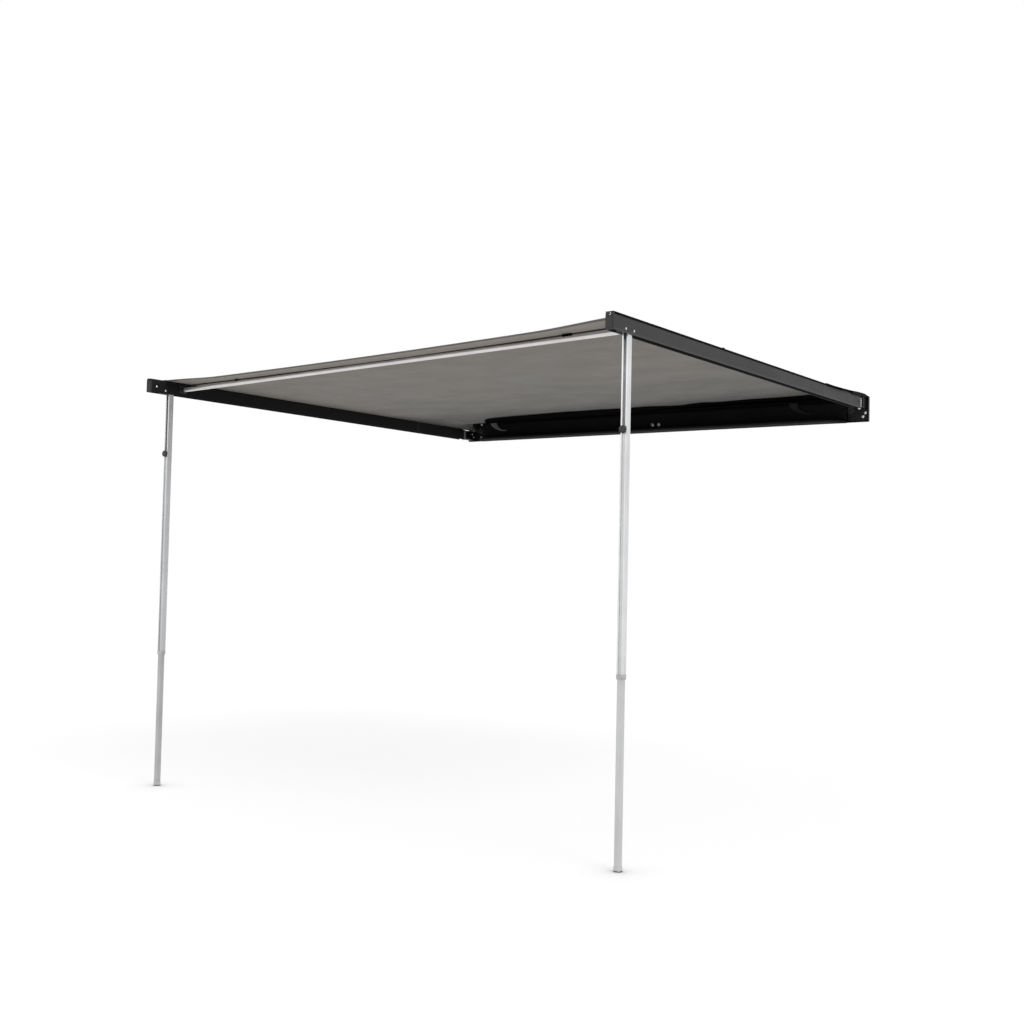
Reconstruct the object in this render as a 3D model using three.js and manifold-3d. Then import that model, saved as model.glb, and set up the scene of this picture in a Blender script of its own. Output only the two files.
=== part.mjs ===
// A vehicle side awning, opened: a back rail that bolts to a roof rack, two arms that swing out
// from it, a telescopic leg hinged in the tip of each arm, a spreader tube between the arms and a
// stretched canopy with its open storage bag. Millimetres. +x runs along the vehicle, -y points
// outward over the shade and +z is up. The origin is the middle of the rail's mounting face.

import * as THREE from 'three';
import { mergeVertices } from 'three/addons/utils/BufferGeometryUtils.js';
import Module from 'manifold-3d';

const wasm = await Module();
wasm.setup();

// Overall sizes
const SPAN = 2520;               // across the outer faces of the two arms
const REACH = 2480;              // mounting face to the arm tips
const GROUND_DROP = 1885;        // rail centre to the ground under the feet
const TOUCH_GAP = 0.3;           // left between faces that touch
const RUNNING_GAP = 0.3;         // radial play of a pin or bolt in its hole
const CUT_OVERRUN = 5;           // how far a cutting tool passes the face it cuts

// Back rail, a folded channel with a bead track along its top edge
const RAIL_PAST_ARMS = 13;       // rail's end beyond the outer face of the arm, at each end
const RAIL_HEIGHT = 128;
const RAIL_DEPTH = 16;
const RAIL_WALL = 3;
const TRACK_HEIGHT = 7.5;
const TRACK_BORE_RADIUS = 2.5;
const TRACK_SLOT = 2;
const BEAD_RADIUS = 2.1;
const END_CAP_THICKNESS = 3;
const END_CAP_PLUG = 6;
const RAIL_BOLT_X = [37, 76];
const RAIL_BOLT_RISE = 41;       // bolt line above the rail's lower edge

// Arms, inverted channels at two heights so that their fittings pass when both are folded
const ARM_WIDTH = 34;
const ARM_HEIGHT = 62;
const ARM_WALL = 1.6;
const ARM_CORNER = 6;
const ARM_BASE_RISE = 2;         // lower arm's bottom above the rail's lower edge
const ARM_STEP = 59;             // right arm above the left arm
const RIGHT_HINGE_OUT = 60;      // mounting face to the right hinge axis
const LEFT_HINGE_OUT = 110;      // the left arm folds in front of the right arm
const CHANNEL_START = 22;        // hinge axis to the channel's cut end
const CAP_FLANGE = 4;
const CAP_PLUG = 24;
const CAP_LUG = 8;
const CAP_LUG_REACH = 6;
const CAP_FIT = 0.3;

// Hinges
const PIN_RADIUS = 5;
const PIN_HEAD_RADIUS = 8;
const PIN_HEAD_HEIGHT = 3.6;
const PIN_TAIL = 7.5;
const NUT_HEIGHT = 6;
const NUT_RADIUS = 8;
const KNUCKLE_RADIUS = 15;
const KNUCKLE_HEIGHT = 44;
const KNUCKLE_RING_DEPTH = 1.5;
const KNUCKLE_RINGS = 4;
const KNUCKLE_PLUG = 60;
const NECK_WIDTH = 24;
const KNUCKLE_SCREW_RADIUS = 3;
const KNUCKLE_SCREW_HEAD = 5.5;
const KNUCKLE_SCREW_BACK = 52;   // hinge axis to the screw
const SCREW_HEAD_HEIGHT = 2.5;
const LUG_THICKNESS = 4;
const LUG_PLAY = 0.4;
const BRACKET_PLATE = 4;
const BRACKET_INBOARD = 75;      // hinge axis to the bracket's inner edge
const BRACKET_OUTBOARD = 22;
const BRACKET_MARGIN = 0.2;
const BRACKET_WEB = 3;
const WEB_CLEARANCE = 1.5;
const BRACKET_BOLT_INBOARD = 60;
const BRACKET_BOLT_SPREAD = 80;
const BOLT_RADIUS = 4;
const BOLT_HEAD_RADIUS = 7;
const BOLT_HEAD_HEIGHT = 4;
const BUFFER_RADIUS = 19;
const BUFFER_THICKNESS = 9;

// Legs
const LEG_BACK = 121;            // arm tip to the leg's centre line
const LEG_PIVOT_RISE = 32;       // pivot above the arm's lower edge
const LEG_WIDTH = 26;
const LEG_WALL = 1.6;
const LEG_SLOT = 12;
const LEG_GROOVE = 1.2;
const LEG_GROOVE_DEPTH = 0.6;
const LEG_GROOVE_OFFSET = 5.5;
const OUTER_LEG_DROP = 1211;     // arm's lower edge to the outer leg's lower end
const HEAD_SHOULDER = 13;
const HEAD_BOSS = 0.7;           // head's width past each side of the leg, inside the saddle
const HEAD_PLUG = 30;
const HEAD_FIT = 0.4;
const INNER_LEG_WIDTH = 21.8;
const INNER_LEG_WALL = 1.4;
const INNER_LEG_FIT = 0.4;
const COLLAR_WIDTH = 29.6;
const COLLAR_SLEEVE = 12;
const COLLAR_LIP = 5;
const FOOT_WIDTH = 24;
const FOOT_HEIGHT = 18;
const FOOT_PLUG = 26;
const KNOB_ABOVE_GROUND = 1545;
const INNER_LEG_ABOVE_KNOB = 15;
const SHOE_LENGTH = 28;
const STUD_RADIUS = 3;
const STUD_LENGTH = 22;          // leg's centre line to the stud's end
const KNOB_RADIUS = 15;          // passes between the arm's walls when the leg is folded
const KNOB_THICKNESS = 12;
const KNOB_LOBES = 9;
const KNOB_FLUTE_DEPTH = 1.4;
const KNOB_STANDOFF = 0.5;

// Saddle inside each arm over the leg's head, with its rivets and the pivot pin
const SADDLE_WALL = 1;
const PIVOT_RADIUS = 4;
const SADDLE_FRONT = 68;         // arm tip to the saddle's front end
const SADDLE_BACK = 153;
const RIVET_BACK = [84, 141];    // arm tip to each rivet
const RIVET_RISE = 15;
const RIVET_RADIUS = 2.2;
const RIVET_HEAD_RADIUS = 4.4;
const RIVET_HEAD_HEIGHT = 2;

// Spreader tube and the clips that hold its ends
const SPREADER_BACK = 183;       // arm tips to the tube
const SPREADER_RADIUS = 9.7;
const SPREADER_WALL = 1.3;
const SPREADER_RISE = 29;        // tube's centre above each arm's lower edge
const SOCKET_PLATE = 2.5;
const SOCKET_PLATE_WIDTH = 40;
const SOCKET_PLATE_HEIGHT = 34;
const SOCKET_RADIUS = 10.4;
const SOCKET_DEPTH = 12;
const SPIGOT_RADIUS = 6;
const SPIGOT_PLAY = 0.8;
const PLUG_FLANGE = 3;
const PLUG_DEPTH = 24;

// Canopy and bag, closed solids of the cloth's outer shape
const CANOPY_THICKNESS = 1.5;
const CANOPY_LIFT = 0.4;         // above the arm that carries it
const CANOPY_INSET = 3;          // canopy's edge inside the arm's outer face
const CANOPY_FRONT_INSET = 80;
const CANOPY_SAG = 9;
const CANOPY_LEVEL_BACK = 135;   // level over the folded arms, then down to the left arm
const CANOPY_RAMP = 200;
const CANOPY_COLUMNS = 20;
const CANOPY_FRONT_ROWS = 8;
const CANOPY_REAR_ROWS = 12;     // shared by the canopy and the flap that lies on it
const BAG_THICKNESS = 2.5;
const BAG_DEPTH = 125;
const BAG_DROP = 4;              // bag's floor below the rail
const BAG_BACK_TOP = 46;
const BAG_LIP = 10;
const BAG_CORNER = 130;          // length of the floor's rounded ends
const BAG_CORNER_STEPS = 8;
const FLAP_REACH = 530;
const FLAP_THICKNESS = 2;
const FLAP_RAMP = 45;
const FLAP_RISE = 16;            // slack cloth standing up from the canopy near the rail

// Sides of the round sections
const FINE_SIDES = 24;
const SMALL_SIDES = 12;
const HEX_SIDES = 6;
const CORNER_STEPS = 3;

// Places worked out from the sizes above
const RAIL_LENGTH = SPAN + 2 * RAIL_PAST_ARMS;
const RAIL_TOP = RAIL_HEIGHT / 2;
const RAIL_BOTTOM = -RAIL_HEIGHT / 2;
const AXIS_X = (SPAN - ARM_WIDTH) / 2;
const INNER_FACE_X = SPAN / 2 - ARM_WIDTH;
const BAG_HALF = AXIS_X - BRACKET_INBOARD - CUT_OVERRUN;
const LOW_ARM_Z = RAIL_BOTTOM + ARM_BASE_RISE + ARM_HEIGHT / 2;
const HIGH_ARM_Z = LOW_ARM_Z + ARM_STEP;
const ARM_HALF = ARM_HEIGHT / 2;
const CHANNEL_INSIDE = ARM_WIDTH - 2 * ARM_WALL;
const LUG_INNER = KNUCKLE_HEIGHT / 2 + LUG_PLAY;
const LUG_OUTER = LUG_INNER + LUG_THICKNESS;
const PLATE_FRONT = RAIL_WALL + TOUCH_GAP + BRACKET_PLATE;
const LEG_INSIDE = LEG_WIDTH - 2 * LEG_WALL;
const INNER_LEG_INSIDE = INNER_LEG_WIDTH - 2 * INNER_LEG_WALL;
const SADDLE_OUTSIDE = CHANNEL_INSIDE - 2 * TOUCH_GAP;
const TRACK_Z = RAIL_TOP - TRACK_HEIGHT / 2;
const SIDES = {
  right: { name: 'right', sign: 1, hingeOut: RIGHT_HINGE_OUT, z: HIGH_ARM_Z },
  left: { name: 'left', sign: -1, hingeOut: LEFT_HINGE_OUT, z: LOW_ARM_Z },
};

// Finishes
const finish = (color, roughness, metalness) =>
  new THREE.MeshStandardMaterial({ color, roughness, metalness });
const BLACK_COAT = finish(0x2a2b2c, 0.55, 0.4);
const BARE_ALUMINIUM = finish(0xc4c6c8, 0.38, 0.9);
const RAIL_COAT = finish(0x1c1d1e, 0.6, 0.3);
const ZINC = finish(0xb9bbbd, 0.3, 1);
const BLACK_STEEL = finish(0x26272a, 0.45, 0.7);
const BLACK_PLASTIC = finish(0x17181a, 0.6, 0);
const RUBBER = finish(0x1b1b1c, 0.85, 0);
const BAG_CLOTH = finish(0x0f1011, 0.8, 0);
const CANOPY_CLOTH = finish(0x77756f, 0.9, 0);

// Solids

/** Turn a closed geometry into a solid: shared vertices merged and collapsed faces dropped. */
function solid(geometry) {
  geometry.deleteAttribute('normal');
  geometry.deleteAttribute('uv');
  const merged = mergeVertices(geometry);
  const index = merged.index.array;
  const kept = [];
  for (let i = 0; i < index.length; i += 3) {
    const [a, b, c] = [index[i], index[i + 1], index[i + 2]];
    if (a !== b && b !== c && c !== a) kept.push(a, b, c);
  }
  return new wasm.Manifold(new wasm.Mesh({
    numProp: 3,
    vertProperties: Float32Array.from(merged.attributes.position.array),
    triVerts: Uint32Array.from(kept),
  }));
}

/** A named mesh of a solid with its finish. */
function part(name, body, material) {
  const { vertProperties, triVerts } = body.getMesh();
  const geometry = new THREE.BufferGeometry();
  geometry.setAttribute('position', new THREE.BufferAttribute(vertProperties, 3));
  geometry.setIndex(new THREE.BufferAttribute(triVerts, 1));
  geometry.computeVertexNormals();
  const mesh = new THREE.Mesh(geometry, material);
  mesh.name = name;
  return mesh;
}

/** A box between two corners. */
function block([x0, x1], [y0, y1], [z0, z1]) {
  const geometry = new THREE.BoxGeometry(Math.abs(x1 - x0), Math.abs(y1 - y0), Math.abs(z1 - z0));
  return solid(geometry.translate((x0 + x1) / 2, (y0 + y1) / 2, (z0 + z1) / 2));
}

/** A round or hexagonal bar from one end point along an axis 'x', 'y' or 'z'. */
function bar(axis, [x, y, z], radius, length, sides = SMALL_SIDES) {
  const geometry = new THREE.CylinderGeometry(radius, radius, Math.abs(length), sides);
  geometry.translate(0, length / 2, 0);
  if (axis === 'x') geometry.rotateZ(-Math.PI / 2);
  if (axis === 'z') geometry.rotateX(Math.PI / 2);
  return solid(geometry.translate(x, y, z));
}

/** A flat outline pushed through a length. Its own x and y lie along the two given axes. */
function extrusion(outline, length, xAxis, yAxis, origin = [0, 0, 0]) {
  const geometry = new THREE.ExtrudeGeometry(outline, {
    depth: length, bevelEnabled: false, curveSegments: CORNER_STEPS,
  });
  const along = new THREE.Vector3().crossVectors(xAxis, yAxis);
  const place = new THREE.Matrix4().makeBasis(xAxis, yAxis, along).setPosition(...origin);
  return solid(geometry.applyMatrix4(place));
}

const ALONG_X = new THREE.Vector3(1, 0, 0);
const ALONG_Y = new THREE.Vector3(0, 1, 0);
const ALONG_Z = new THREE.Vector3(0, 0, 1);

/** A polygon from a list of points. */
function polygon(points) {
  return new THREE.Shape(points.map(([x, y]) => new THREE.Vector2(x, y)));
}

/** A rectangle centred on its own origin. */
function square(width, height) {
  return polygon([[-width / 2, -height / 2], [width / 2, -height / 2],
    [width / 2, height / 2], [-width / 2, height / 2]]);
}

/** Evenly spaced stations from one value to another. */
function stations(from, to, count) {
  return Array.from({ length: count + 1 }, (_, i) => from + ((to - from) * i) / count);
}

/** A thin sheet of even thickness over a grid of stations in x and y, with its rim closed. */
function sheet(xs, ys, bottomAt, thickness) {
  const positions = [];
  const index = [];
  const columns = xs.length - 1;
  const rows = ys.length - 1;
  const at = (i, j, top) => 2 * (j * (columns + 1) + i) + top;
  for (const y of ys) {
    for (const x of xs) {
      const z = bottomAt(x, y);
      positions.push(x, y, z, x, y, z + thickness);
    }
  }
  const quad = (a, b, c, d) => index.push(a, b, c, a, c, d);
  for (let j = 0; j < rows; j += 1) {
    for (let i = 0; i < columns; i += 1) {
      quad(at(i, j, 1), at(i + 1, j, 1), at(i + 1, j + 1, 1), at(i, j + 1, 1));
      quad(at(i, j, 0), at(i, j + 1, 0), at(i + 1, j + 1, 0), at(i + 1, j, 0));
    }
  }
  for (let i = 0; i < columns; i += 1) {
    quad(at(i, 0, 0), at(i + 1, 0, 0), at(i + 1, 0, 1), at(i, 0, 1));
    quad(at(i + 1, rows, 0), at(i, rows, 0), at(i, rows, 1), at(i + 1, rows, 1));
  }
  for (let j = 0; j < rows; j += 1) {
    quad(at(0, j + 1, 0), at(0, j, 0), at(0, j, 1), at(0, j + 1, 1));
    quad(at(columns, j, 0), at(columns, j + 1, 0), at(columns, j + 1, 1), at(columns, j, 1));
  }
  const geometry = new THREE.BufferGeometry();
  geometry.setAttribute('position', new THREE.Float32BufferAttribute(positions, 3));
  geometry.setIndex(index);
  return solid(geometry);
}

/** Ease from 0 to 1 as a distance passes from start to start plus length. */
function ease(distance, start, length) {
  return THREE.MathUtils.smoothstep(distance, start, start + length);
}

// Back rail

/** The rail's section in y and z: a channel open to the front, with the bead track at its top. */
function railOutline() {
  const outline = polygon([
    [0, RAIL_BOTTOM], [0, RAIL_TOP], [-RAIL_DEPTH, RAIL_TOP], [-RAIL_DEPTH, RAIL_TOP - TRACK_HEIGHT],
    [-RAIL_WALL, RAIL_TOP - TRACK_HEIGHT], [-RAIL_WALL, RAIL_BOTTOM + RAIL_WALL],
    [-RAIL_DEPTH, RAIL_BOTTOM + RAIL_WALL], [-RAIL_DEPTH, RAIL_BOTTOM],
  ]);
  return outline;
}

/** The middle of the bead track, behind the rail's front edge. */
const TRACK_Y = -(RAIL_DEPTH - TRACK_HEIGHT / 2 - TRACK_SLOT);

/** The rail with its track, bolt holes and the holes for the brackets' bolts. */
function backRail() {
  const half = RAIL_LENGTH / 2;
  let rail = extrusion(railOutline(), RAIL_LENGTH, ALONG_Y, ALONG_Z, [-half, 0, 0]);
  const bore = bar('x', [-half - CUT_OVERRUN, TRACK_Y, TRACK_Z], TRACK_BORE_RADIUS,
    RAIL_LENGTH + 2 * CUT_OVERRUN);
  const slot = block([-half - CUT_OVERRUN, half + CUT_OVERRUN], [TRACK_Y, -RAIL_DEPTH - CUT_OVERRUN],
    [TRACK_Z - TRACK_SLOT / 2, TRACK_Z + TRACK_SLOT / 2]);
  rail = rail.subtract(bore).subtract(slot);
  for (const x of RAIL_BOLT_X) rail = rail.subtract(boltHole(x, RAIL_BOTTOM + RAIL_BOLT_RISE));
  for (const side of Object.values(SIDES)) {
    for (const z of [-BRACKET_BOLT_SPREAD / 2, BRACKET_BOLT_SPREAD / 2]) {
      rail = rail.subtract(boltHole(side.sign * (AXIS_X - BRACKET_BOLT_INBOARD), z));
    }
  }
  return part('back_rail', rail, RAIL_COAT);
}

/** A cutter for a bolt's hole through the rail and whatever is bolted to its front. */
function boltHole(x, z) {
  return bar('y', [x, CUT_OVERRUN, z], BOLT_RADIUS + RUNNING_GAP, -(PLATE_FRONT + 2 * CUT_OVERRUN));
}

/** A bolt through the rail from the front: a domed head, its collar and a shank. */
function railBolt(name, x, z, seat, material) {
  const shank = bar('y', [x, -TOUCH_GAP, z], BOLT_RADIUS, -(seat + BOLT_HEAD_HEIGHT / 2));
  const head = domeHead(BOLT_HEAD_RADIUS, BOLT_HEAD_HEIGHT);
  return part(name, shank.add(head.rotate([90, 0, 0]).translate([x, -seat - TOUCH_GAP, z])), material);
}

/** A low domed head standing on z = 0. */
function domeHead(radius, height) {
  const profile = [new THREE.Vector2(0, 0), new THREE.Vector2(radius, 0)];
  const steps = CORNER_STEPS;
  for (let i = 0; i < steps; i += 1) {
    const angle = (i / steps) * (Math.PI / 2);
    profile.push(new THREE.Vector2(radius * Math.cos(angle), height * (1 + Math.sin(angle)) / 2));
  }
  profile.push(new THREE.Vector2(0, height));
  const geometry = new THREE.LatheGeometry(profile, SMALL_SIDES);
  return solid(geometry.rotateX(Math.PI / 2));
}

/** A moulded cap on one end of the rail, with a plug inside the channel. */
function railEndCap(side) {
  const inner = RAIL_LENGTH / 2 + TOUCH_GAP;
  const outer = inner + END_CAP_THICKNESS;
  const face = block([inner, outer], [-RAIL_DEPTH, 0], [RAIL_BOTTOM, RAIL_TOP]);
  const plug = block([inner - END_CAP_PLUG, inner + TOUCH_GAP],
    [-RAIL_DEPTH, -RAIL_WALL - TOUCH_GAP],
    [RAIL_BOTTOM + RAIL_WALL + TOUCH_GAP, RAIL_TOP - TRACK_HEIGHT - TOUCH_GAP]);
  const cap = face.add(plug);
  const placed = side.sign > 0 ? cap : cap.mirror([1, 0, 0]);
  return part(`rail_end_cap_${side.name}`, placed, BLACK_PLASTIC);
}

/** The cord in the canopy's rear hem that holds it in the rail's track. */
function beadRod() {
  const half = RAIL_LENGTH / 2 - END_CAP_PLUG;
  return part('canopy_bead_rod', bar('x', [-half, TRACK_Y, TRACK_Z], BEAD_RADIUS, 2 * half), BLACK_PLASTIC);
}

// Hinge brackets, fixed to the rail

/** A lug's outline in x and y about the hinge axis: straight from the plate, round at the pin. */
function lugOutline(side) {
  const back = side.hingeOut - PLATE_FRONT + BRACKET_PLATE / 2;
  const web = side.sign * (KNUCKLE_RADIUS + WEB_CLEARANCE + BRACKET_WEB);
  const inside = -side.sign * KNUCKLE_RADIUS;
  const outline = new THREE.Shape();
  outline.moveTo(inside, back);
  outline.lineTo(inside, 0);
  outline.absarc(0, 0, KNUCKLE_RADIUS, side.sign > 0 ? Math.PI : 0, side.sign > 0 ? 2 * Math.PI : -Math.PI,
    side.sign < 0);
  outline.lineTo(web, 0);
  outline.lineTo(web, back);
  return outline;
}

/** The bracket: a plate on the rail, two lugs for the pin and a web along their outer side. */
function hingeBracket(side) {
  const { sign } = side;
  const top = HIGH_ARM_Z + LUG_OUTER + BRACKET_MARGIN;
  const bottom = LOW_ARM_Z - LUG_OUTER - BRACKET_MARGIN;
  const outside = sign * (AXIS_X + BRACKET_OUTBOARD);
  const inboard = sign * (AXIS_X - BRACKET_INBOARD);
  let body = block([outside, inboard], [-RAIL_WALL - TOUCH_GAP, -PLATE_FRONT], [bottom, top]);
  for (const z of [-LUG_OUTER, LUG_INNER]) {
    const lug = extrusion(lugOutline(side), LUG_THICKNESS, ALONG_X, ALONG_Y);
    body = body.add(lug.translate([sign * AXIS_X, -side.hingeOut, side.z + z]));
  }
  const webInside = sign * (AXIS_X + KNUCKLE_RADIUS + WEB_CLEARANCE);
  const web = block([webInside, webInside + sign * BRACKET_WEB],
    [-side.hingeOut, -PLATE_FRONT + BRACKET_PLATE / 2], [side.z - LUG_OUTER, side.z + LUG_OUTER]);
  const bore = bar('z', [sign * AXIS_X, -side.hingeOut, side.z - LUG_OUTER - CUT_OVERRUN],
    PIN_RADIUS + RUNNING_GAP, 2 * (LUG_OUTER + CUT_OVERRUN), FINE_SIDES);
  body = body.add(web).subtract(bore);
  for (const z of [-BRACKET_BOLT_SPREAD / 2, BRACKET_BOLT_SPREAD / 2]) {
    body = body.subtract(boltHole(sign * (AXIS_X - BRACKET_BOLT_INBOARD), z));
  }
  return part(`${side.name}_hinge_bracket`, body, BLACK_STEEL);
}

/** The bracket's two bolts, the rubber buffer between them, the hinge pin and its nut. */
function hingeFittings(side) {
  const x = side.sign * (AXIS_X - BRACKET_BOLT_INBOARD);
  const upper = railBolt(`${side.name}_bracket_bolt_upper`, x, BRACKET_BOLT_SPREAD / 2, PLATE_FRONT, ZINC);
  const lower = railBolt(`${side.name}_bracket_bolt_lower`, x, -BRACKET_BOLT_SPREAD / 2, PLATE_FRONT, ZINC);
  const buffer = bar('y', [x, -PLATE_FRONT - TOUCH_GAP, 0], BUFFER_RADIUS, -BUFFER_THICKNESS, FINE_SIDES);
  const pinTop = LUG_OUTER + TOUCH_GAP;
  const shank = bar('z', [0, 0, -LUG_OUTER - PIN_TAIL], PIN_RADIUS, LUG_OUTER + PIN_TAIL + pinTop + TOUCH_GAP,
    FINE_SIDES);
  const head = domeHead(PIN_HEAD_RADIUS, PIN_HEAD_HEIGHT).translate([0, 0, pinTop]);
  const nut = bar('z', [0, 0, -LUG_OUTER - TOUCH_GAP], NUT_RADIUS, -NUT_HEIGHT, HEX_SIDES)
    .subtract(bar('z', [0, 0, CUT_OVERRUN - LUG_OUTER], PIN_RADIUS + RUNNING_GAP,
      -(NUT_HEIGHT + 3 * CUT_OVERRUN), FINE_SIDES));
  const axis = [side.sign * AXIS_X, -side.hingeOut, side.z];
  return [
    upper, lower,
    part(`${side.name}_arm_buffer`, buffer, RUBBER),
    part(`${side.name}_hinge_pin`, shank.add(head).translate(axis), ZINC),
    part(`${side.name}_hinge_nut`, nut.translate(axis), ZINC),
  ];
}

// Arms. Each is drawn about its own hinge axis, running out along -y.

/** The arm's section in x and z: a channel open at the bottom, with rounded upper corners. */
function channelOutline() {
  const outline = new THREE.Shape();
  const w = ARM_WIDTH / 2;
  const h = ARM_HALF;
  const inner = ARM_CORNER - ARM_WALL;
  outline.moveTo(w, -h);
  outline.lineTo(w, h - ARM_CORNER);
  outline.absarc(w - ARM_CORNER, h - ARM_CORNER, ARM_CORNER, 0, Math.PI / 2, false);
  outline.lineTo(-w + ARM_CORNER, h);
  outline.absarc(-w + ARM_CORNER, h - ARM_CORNER, ARM_CORNER, Math.PI / 2, Math.PI, false);
  outline.lineTo(-w, -h);
  outline.lineTo(-w + ARM_WALL, -h);
  outline.lineTo(-w + ARM_WALL, h - ARM_CORNER);
  outline.absarc(-w + ARM_CORNER, h - ARM_CORNER, inner, Math.PI, Math.PI / 2, true);
  outline.lineTo(w - ARM_CORNER, h - ARM_WALL);
  outline.absarc(w - ARM_CORNER, h - ARM_CORNER, inner, Math.PI / 2, 0, true);
  outline.lineTo(w - ARM_WALL, -h);
  return outline;
}

/** Length of an arm from its hinge axis to the front face of its cap. */
const armLength = (side) => REACH - side.hingeOut;

/** Cutters for the rivet holes, on the arm's outer wall only. */
function rivetHoles(side) {
  return RIVET_BACK.map((back) => bar('x', [0, back - armLength(side), RIVET_RISE - ARM_HALF],
    RIVET_RADIUS + RUNNING_GAP, side.sign * (ARM_WIDTH / 2 + CUT_OVERRUN)));
}

/** The arm's channel with the holes for its rivets and screw. */
function armChannel(side) {
  const length = armLength(side) - CAP_FLANGE - TOUCH_GAP - CHANNEL_START;
  let channel = extrusion(channelOutline(), length, ALONG_X, ALONG_Z, [0, -CHANNEL_START, 0]);
  for (const hole of rivetHoles(side)) channel = channel.subtract(hole);
  channel = channel.subtract(screwHole(side));
  return part(`${side.name}_arm_channel`, channel, BLACK_COAT);
}

/** A cutter for the screw that holds the rear knuckle in the channel. */
function screwHole(side) {
  return bar('x', [0, -KNUCKLE_SCREW_BACK, 0], KNUCKLE_SCREW_RADIUS + RUNNING_GAP,
    side.sign * (ARM_WIDTH / 2 + CUT_OVERRUN));
}

/** The moulded cap on the arm's front end, with the lug that the canopy's corner loops over. */
function armFrontCap(side) {
  const w = ARM_WIDTH / 2;
  const front = -armLength(side);
  const face = new THREE.Shape();
  face.moveTo(-w, -ARM_HALF);
  face.lineTo(w, -ARM_HALF);
  face.lineTo(w, ARM_HALF - ARM_CORNER);
  face.absarc(w - ARM_CORNER, ARM_HALF - ARM_CORNER, ARM_CORNER, 0, Math.PI / 2, false);
  face.lineTo(-w + ARM_CORNER, ARM_HALF);
  face.absarc(-w + ARM_CORNER, ARM_HALF - ARM_CORNER, ARM_CORNER, Math.PI / 2, Math.PI, false);
  const flange = extrusion(face, CAP_FLANGE, ALONG_X, ALONG_Z, [0, front + CAP_FLANGE, 0]);
  const half = CHANNEL_INSIDE / 2 - CAP_FIT;
  const shoulder = ARM_CORNER - ARM_WALL;
  const plug = extrusion(polygon([
    [-half, -ARM_HALF], [half, -ARM_HALF], [half, ARM_HALF - ARM_WALL - shoulder],
    [half - shoulder, ARM_HALF - ARM_WALL - CAP_FIT], [shoulder - half, ARM_HALF - ARM_WALL - CAP_FIT],
    [-half, ARM_HALF - ARM_WALL - shoulder],
  ]), CAP_PLUG, ALONG_X, ALONG_Z, [0, front + CAP_FLANGE / 2 + CAP_PLUG, 0]);
  const lug = block([-CAP_LUG / 2, CAP_LUG / 2], [front - CAP_LUG_REACH, front + CAP_FLANGE / 2],
    [ARM_HALF - CAP_LUG, ARM_HALF]);
  return part(`${side.name}_arm_front_cap`, flange.add(plug).add(lug), BLACK_PLASTIC);
}

/** The knuckle at the arm's rear: a ringed barrel on the pin, a neck and a plug in the channel. */
function rearKnuckle(side) {
  const h = KNUCKLE_HEIGHT / 2;
  const pitch = KNUCKLE_HEIGHT / (2 * KNUCKLE_RINGS + 1);
  const profile = [new THREE.Vector2(0, -h)];
  for (let i = 0; i <= 2 * KNUCKLE_RINGS; i += 1) {
    const radius = KNUCKLE_RADIUS - (i % 2 ? KNUCKLE_RING_DEPTH : 0);
    profile.push(new THREE.Vector2(radius, -h + i * pitch), new THREE.Vector2(radius, -h + (i + 1) * pitch));
  }
  profile.push(new THREE.Vector2(0, h));
  const barrel = solid(new THREE.LatheGeometry(profile, FINE_SIDES).rotateX(Math.PI / 2));
  const neck = block([-NECK_WIDTH / 2, NECK_WIDTH / 2], [0, -CHANNEL_START - CUT_OVERRUN], [-h, h]);
  const half = CHANNEL_INSIDE / 2 - CAP_FIT;
  const plug = block([-half, half], [-CHANNEL_START - TOUCH_GAP, -CHANNEL_START - KNUCKLE_PLUG], [-h, h]);
  const bore = bar('z', [0, 0, -h - CUT_OVERRUN], PIN_RADIUS + RUNNING_GAP, 2 * (h + CUT_OVERRUN),
    FINE_SIDES);
  const knuckle = barrel.add(neck).add(plug).subtract(bore).subtract(screwHole(side));
  return part(`${side.name}_rear_knuckle`, knuckle, BLACK_COAT);
}

/** The screw through the arm's outer wall into the knuckle. */
function knuckleScrew(side) {
  const w = ARM_WIDTH / 2;
  const shank = bar('x', [w / 2, -KNUCKLE_SCREW_BACK, 0], KNUCKLE_SCREW_RADIUS, w / 2 + 2 * TOUCH_GAP);
  const head = domeHead(KNUCKLE_SCREW_HEAD, SCREW_HEAD_HEIGHT).rotate([0, 90, 0])
    .translate([w + TOUCH_GAP, -KNUCKLE_SCREW_BACK, 0]);
  const screw = shank.add(head);
  return part(`${side.name}_knuckle_screw`, side.sign > 0 ? screw : screw.mirror([1, 0, 0]), ZINC);
}

/** The steel saddle inside the arm that carries the leg's pivot. */
function legSaddle(side) {
  const w = SADDLE_OUTSIDE / 2;
  const top = ARM_HALF - ARM_WALL - TOUCH_GAP;
  const chamfer = ARM_CORNER - ARM_WALL;
  const t = SADDLE_WALL;
  const edge = -ARM_HALF + ARM_WALL;
  const outline = polygon([
    [w, edge], [w, top - chamfer], [w - chamfer, top], [chamfer - w, top], [-w, top - chamfer], [-w, edge],
    [t - w, edge], [t - w, top - chamfer - t / 2], [chamfer + t / 2 - w, top - t],
    [w - chamfer - t / 2, top - t], [w - t, top - chamfer - t / 2], [w - t, edge],
  ]);
  const front = SADDLE_FRONT - armLength(side);
  const length = SADDLE_BACK - SADDLE_FRONT;
  let saddle = extrusion(outline, length, ALONG_X, ALONG_Z, [0, front + length, 0]);
  saddle = saddle.subtract(bar('x', [-w - CUT_OVERRUN, LEG_BACK - armLength(side), LEG_PIVOT_RISE - ARM_HALF],
    PIVOT_RADIUS + RUNNING_GAP, SADDLE_OUTSIDE + 2 * CUT_OVERRUN));
  for (const hole of rivetHoles(side)) saddle = saddle.subtract(hole);
  return part(`${side.name}_leg_saddle`, saddle, ZINC);
}

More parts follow.
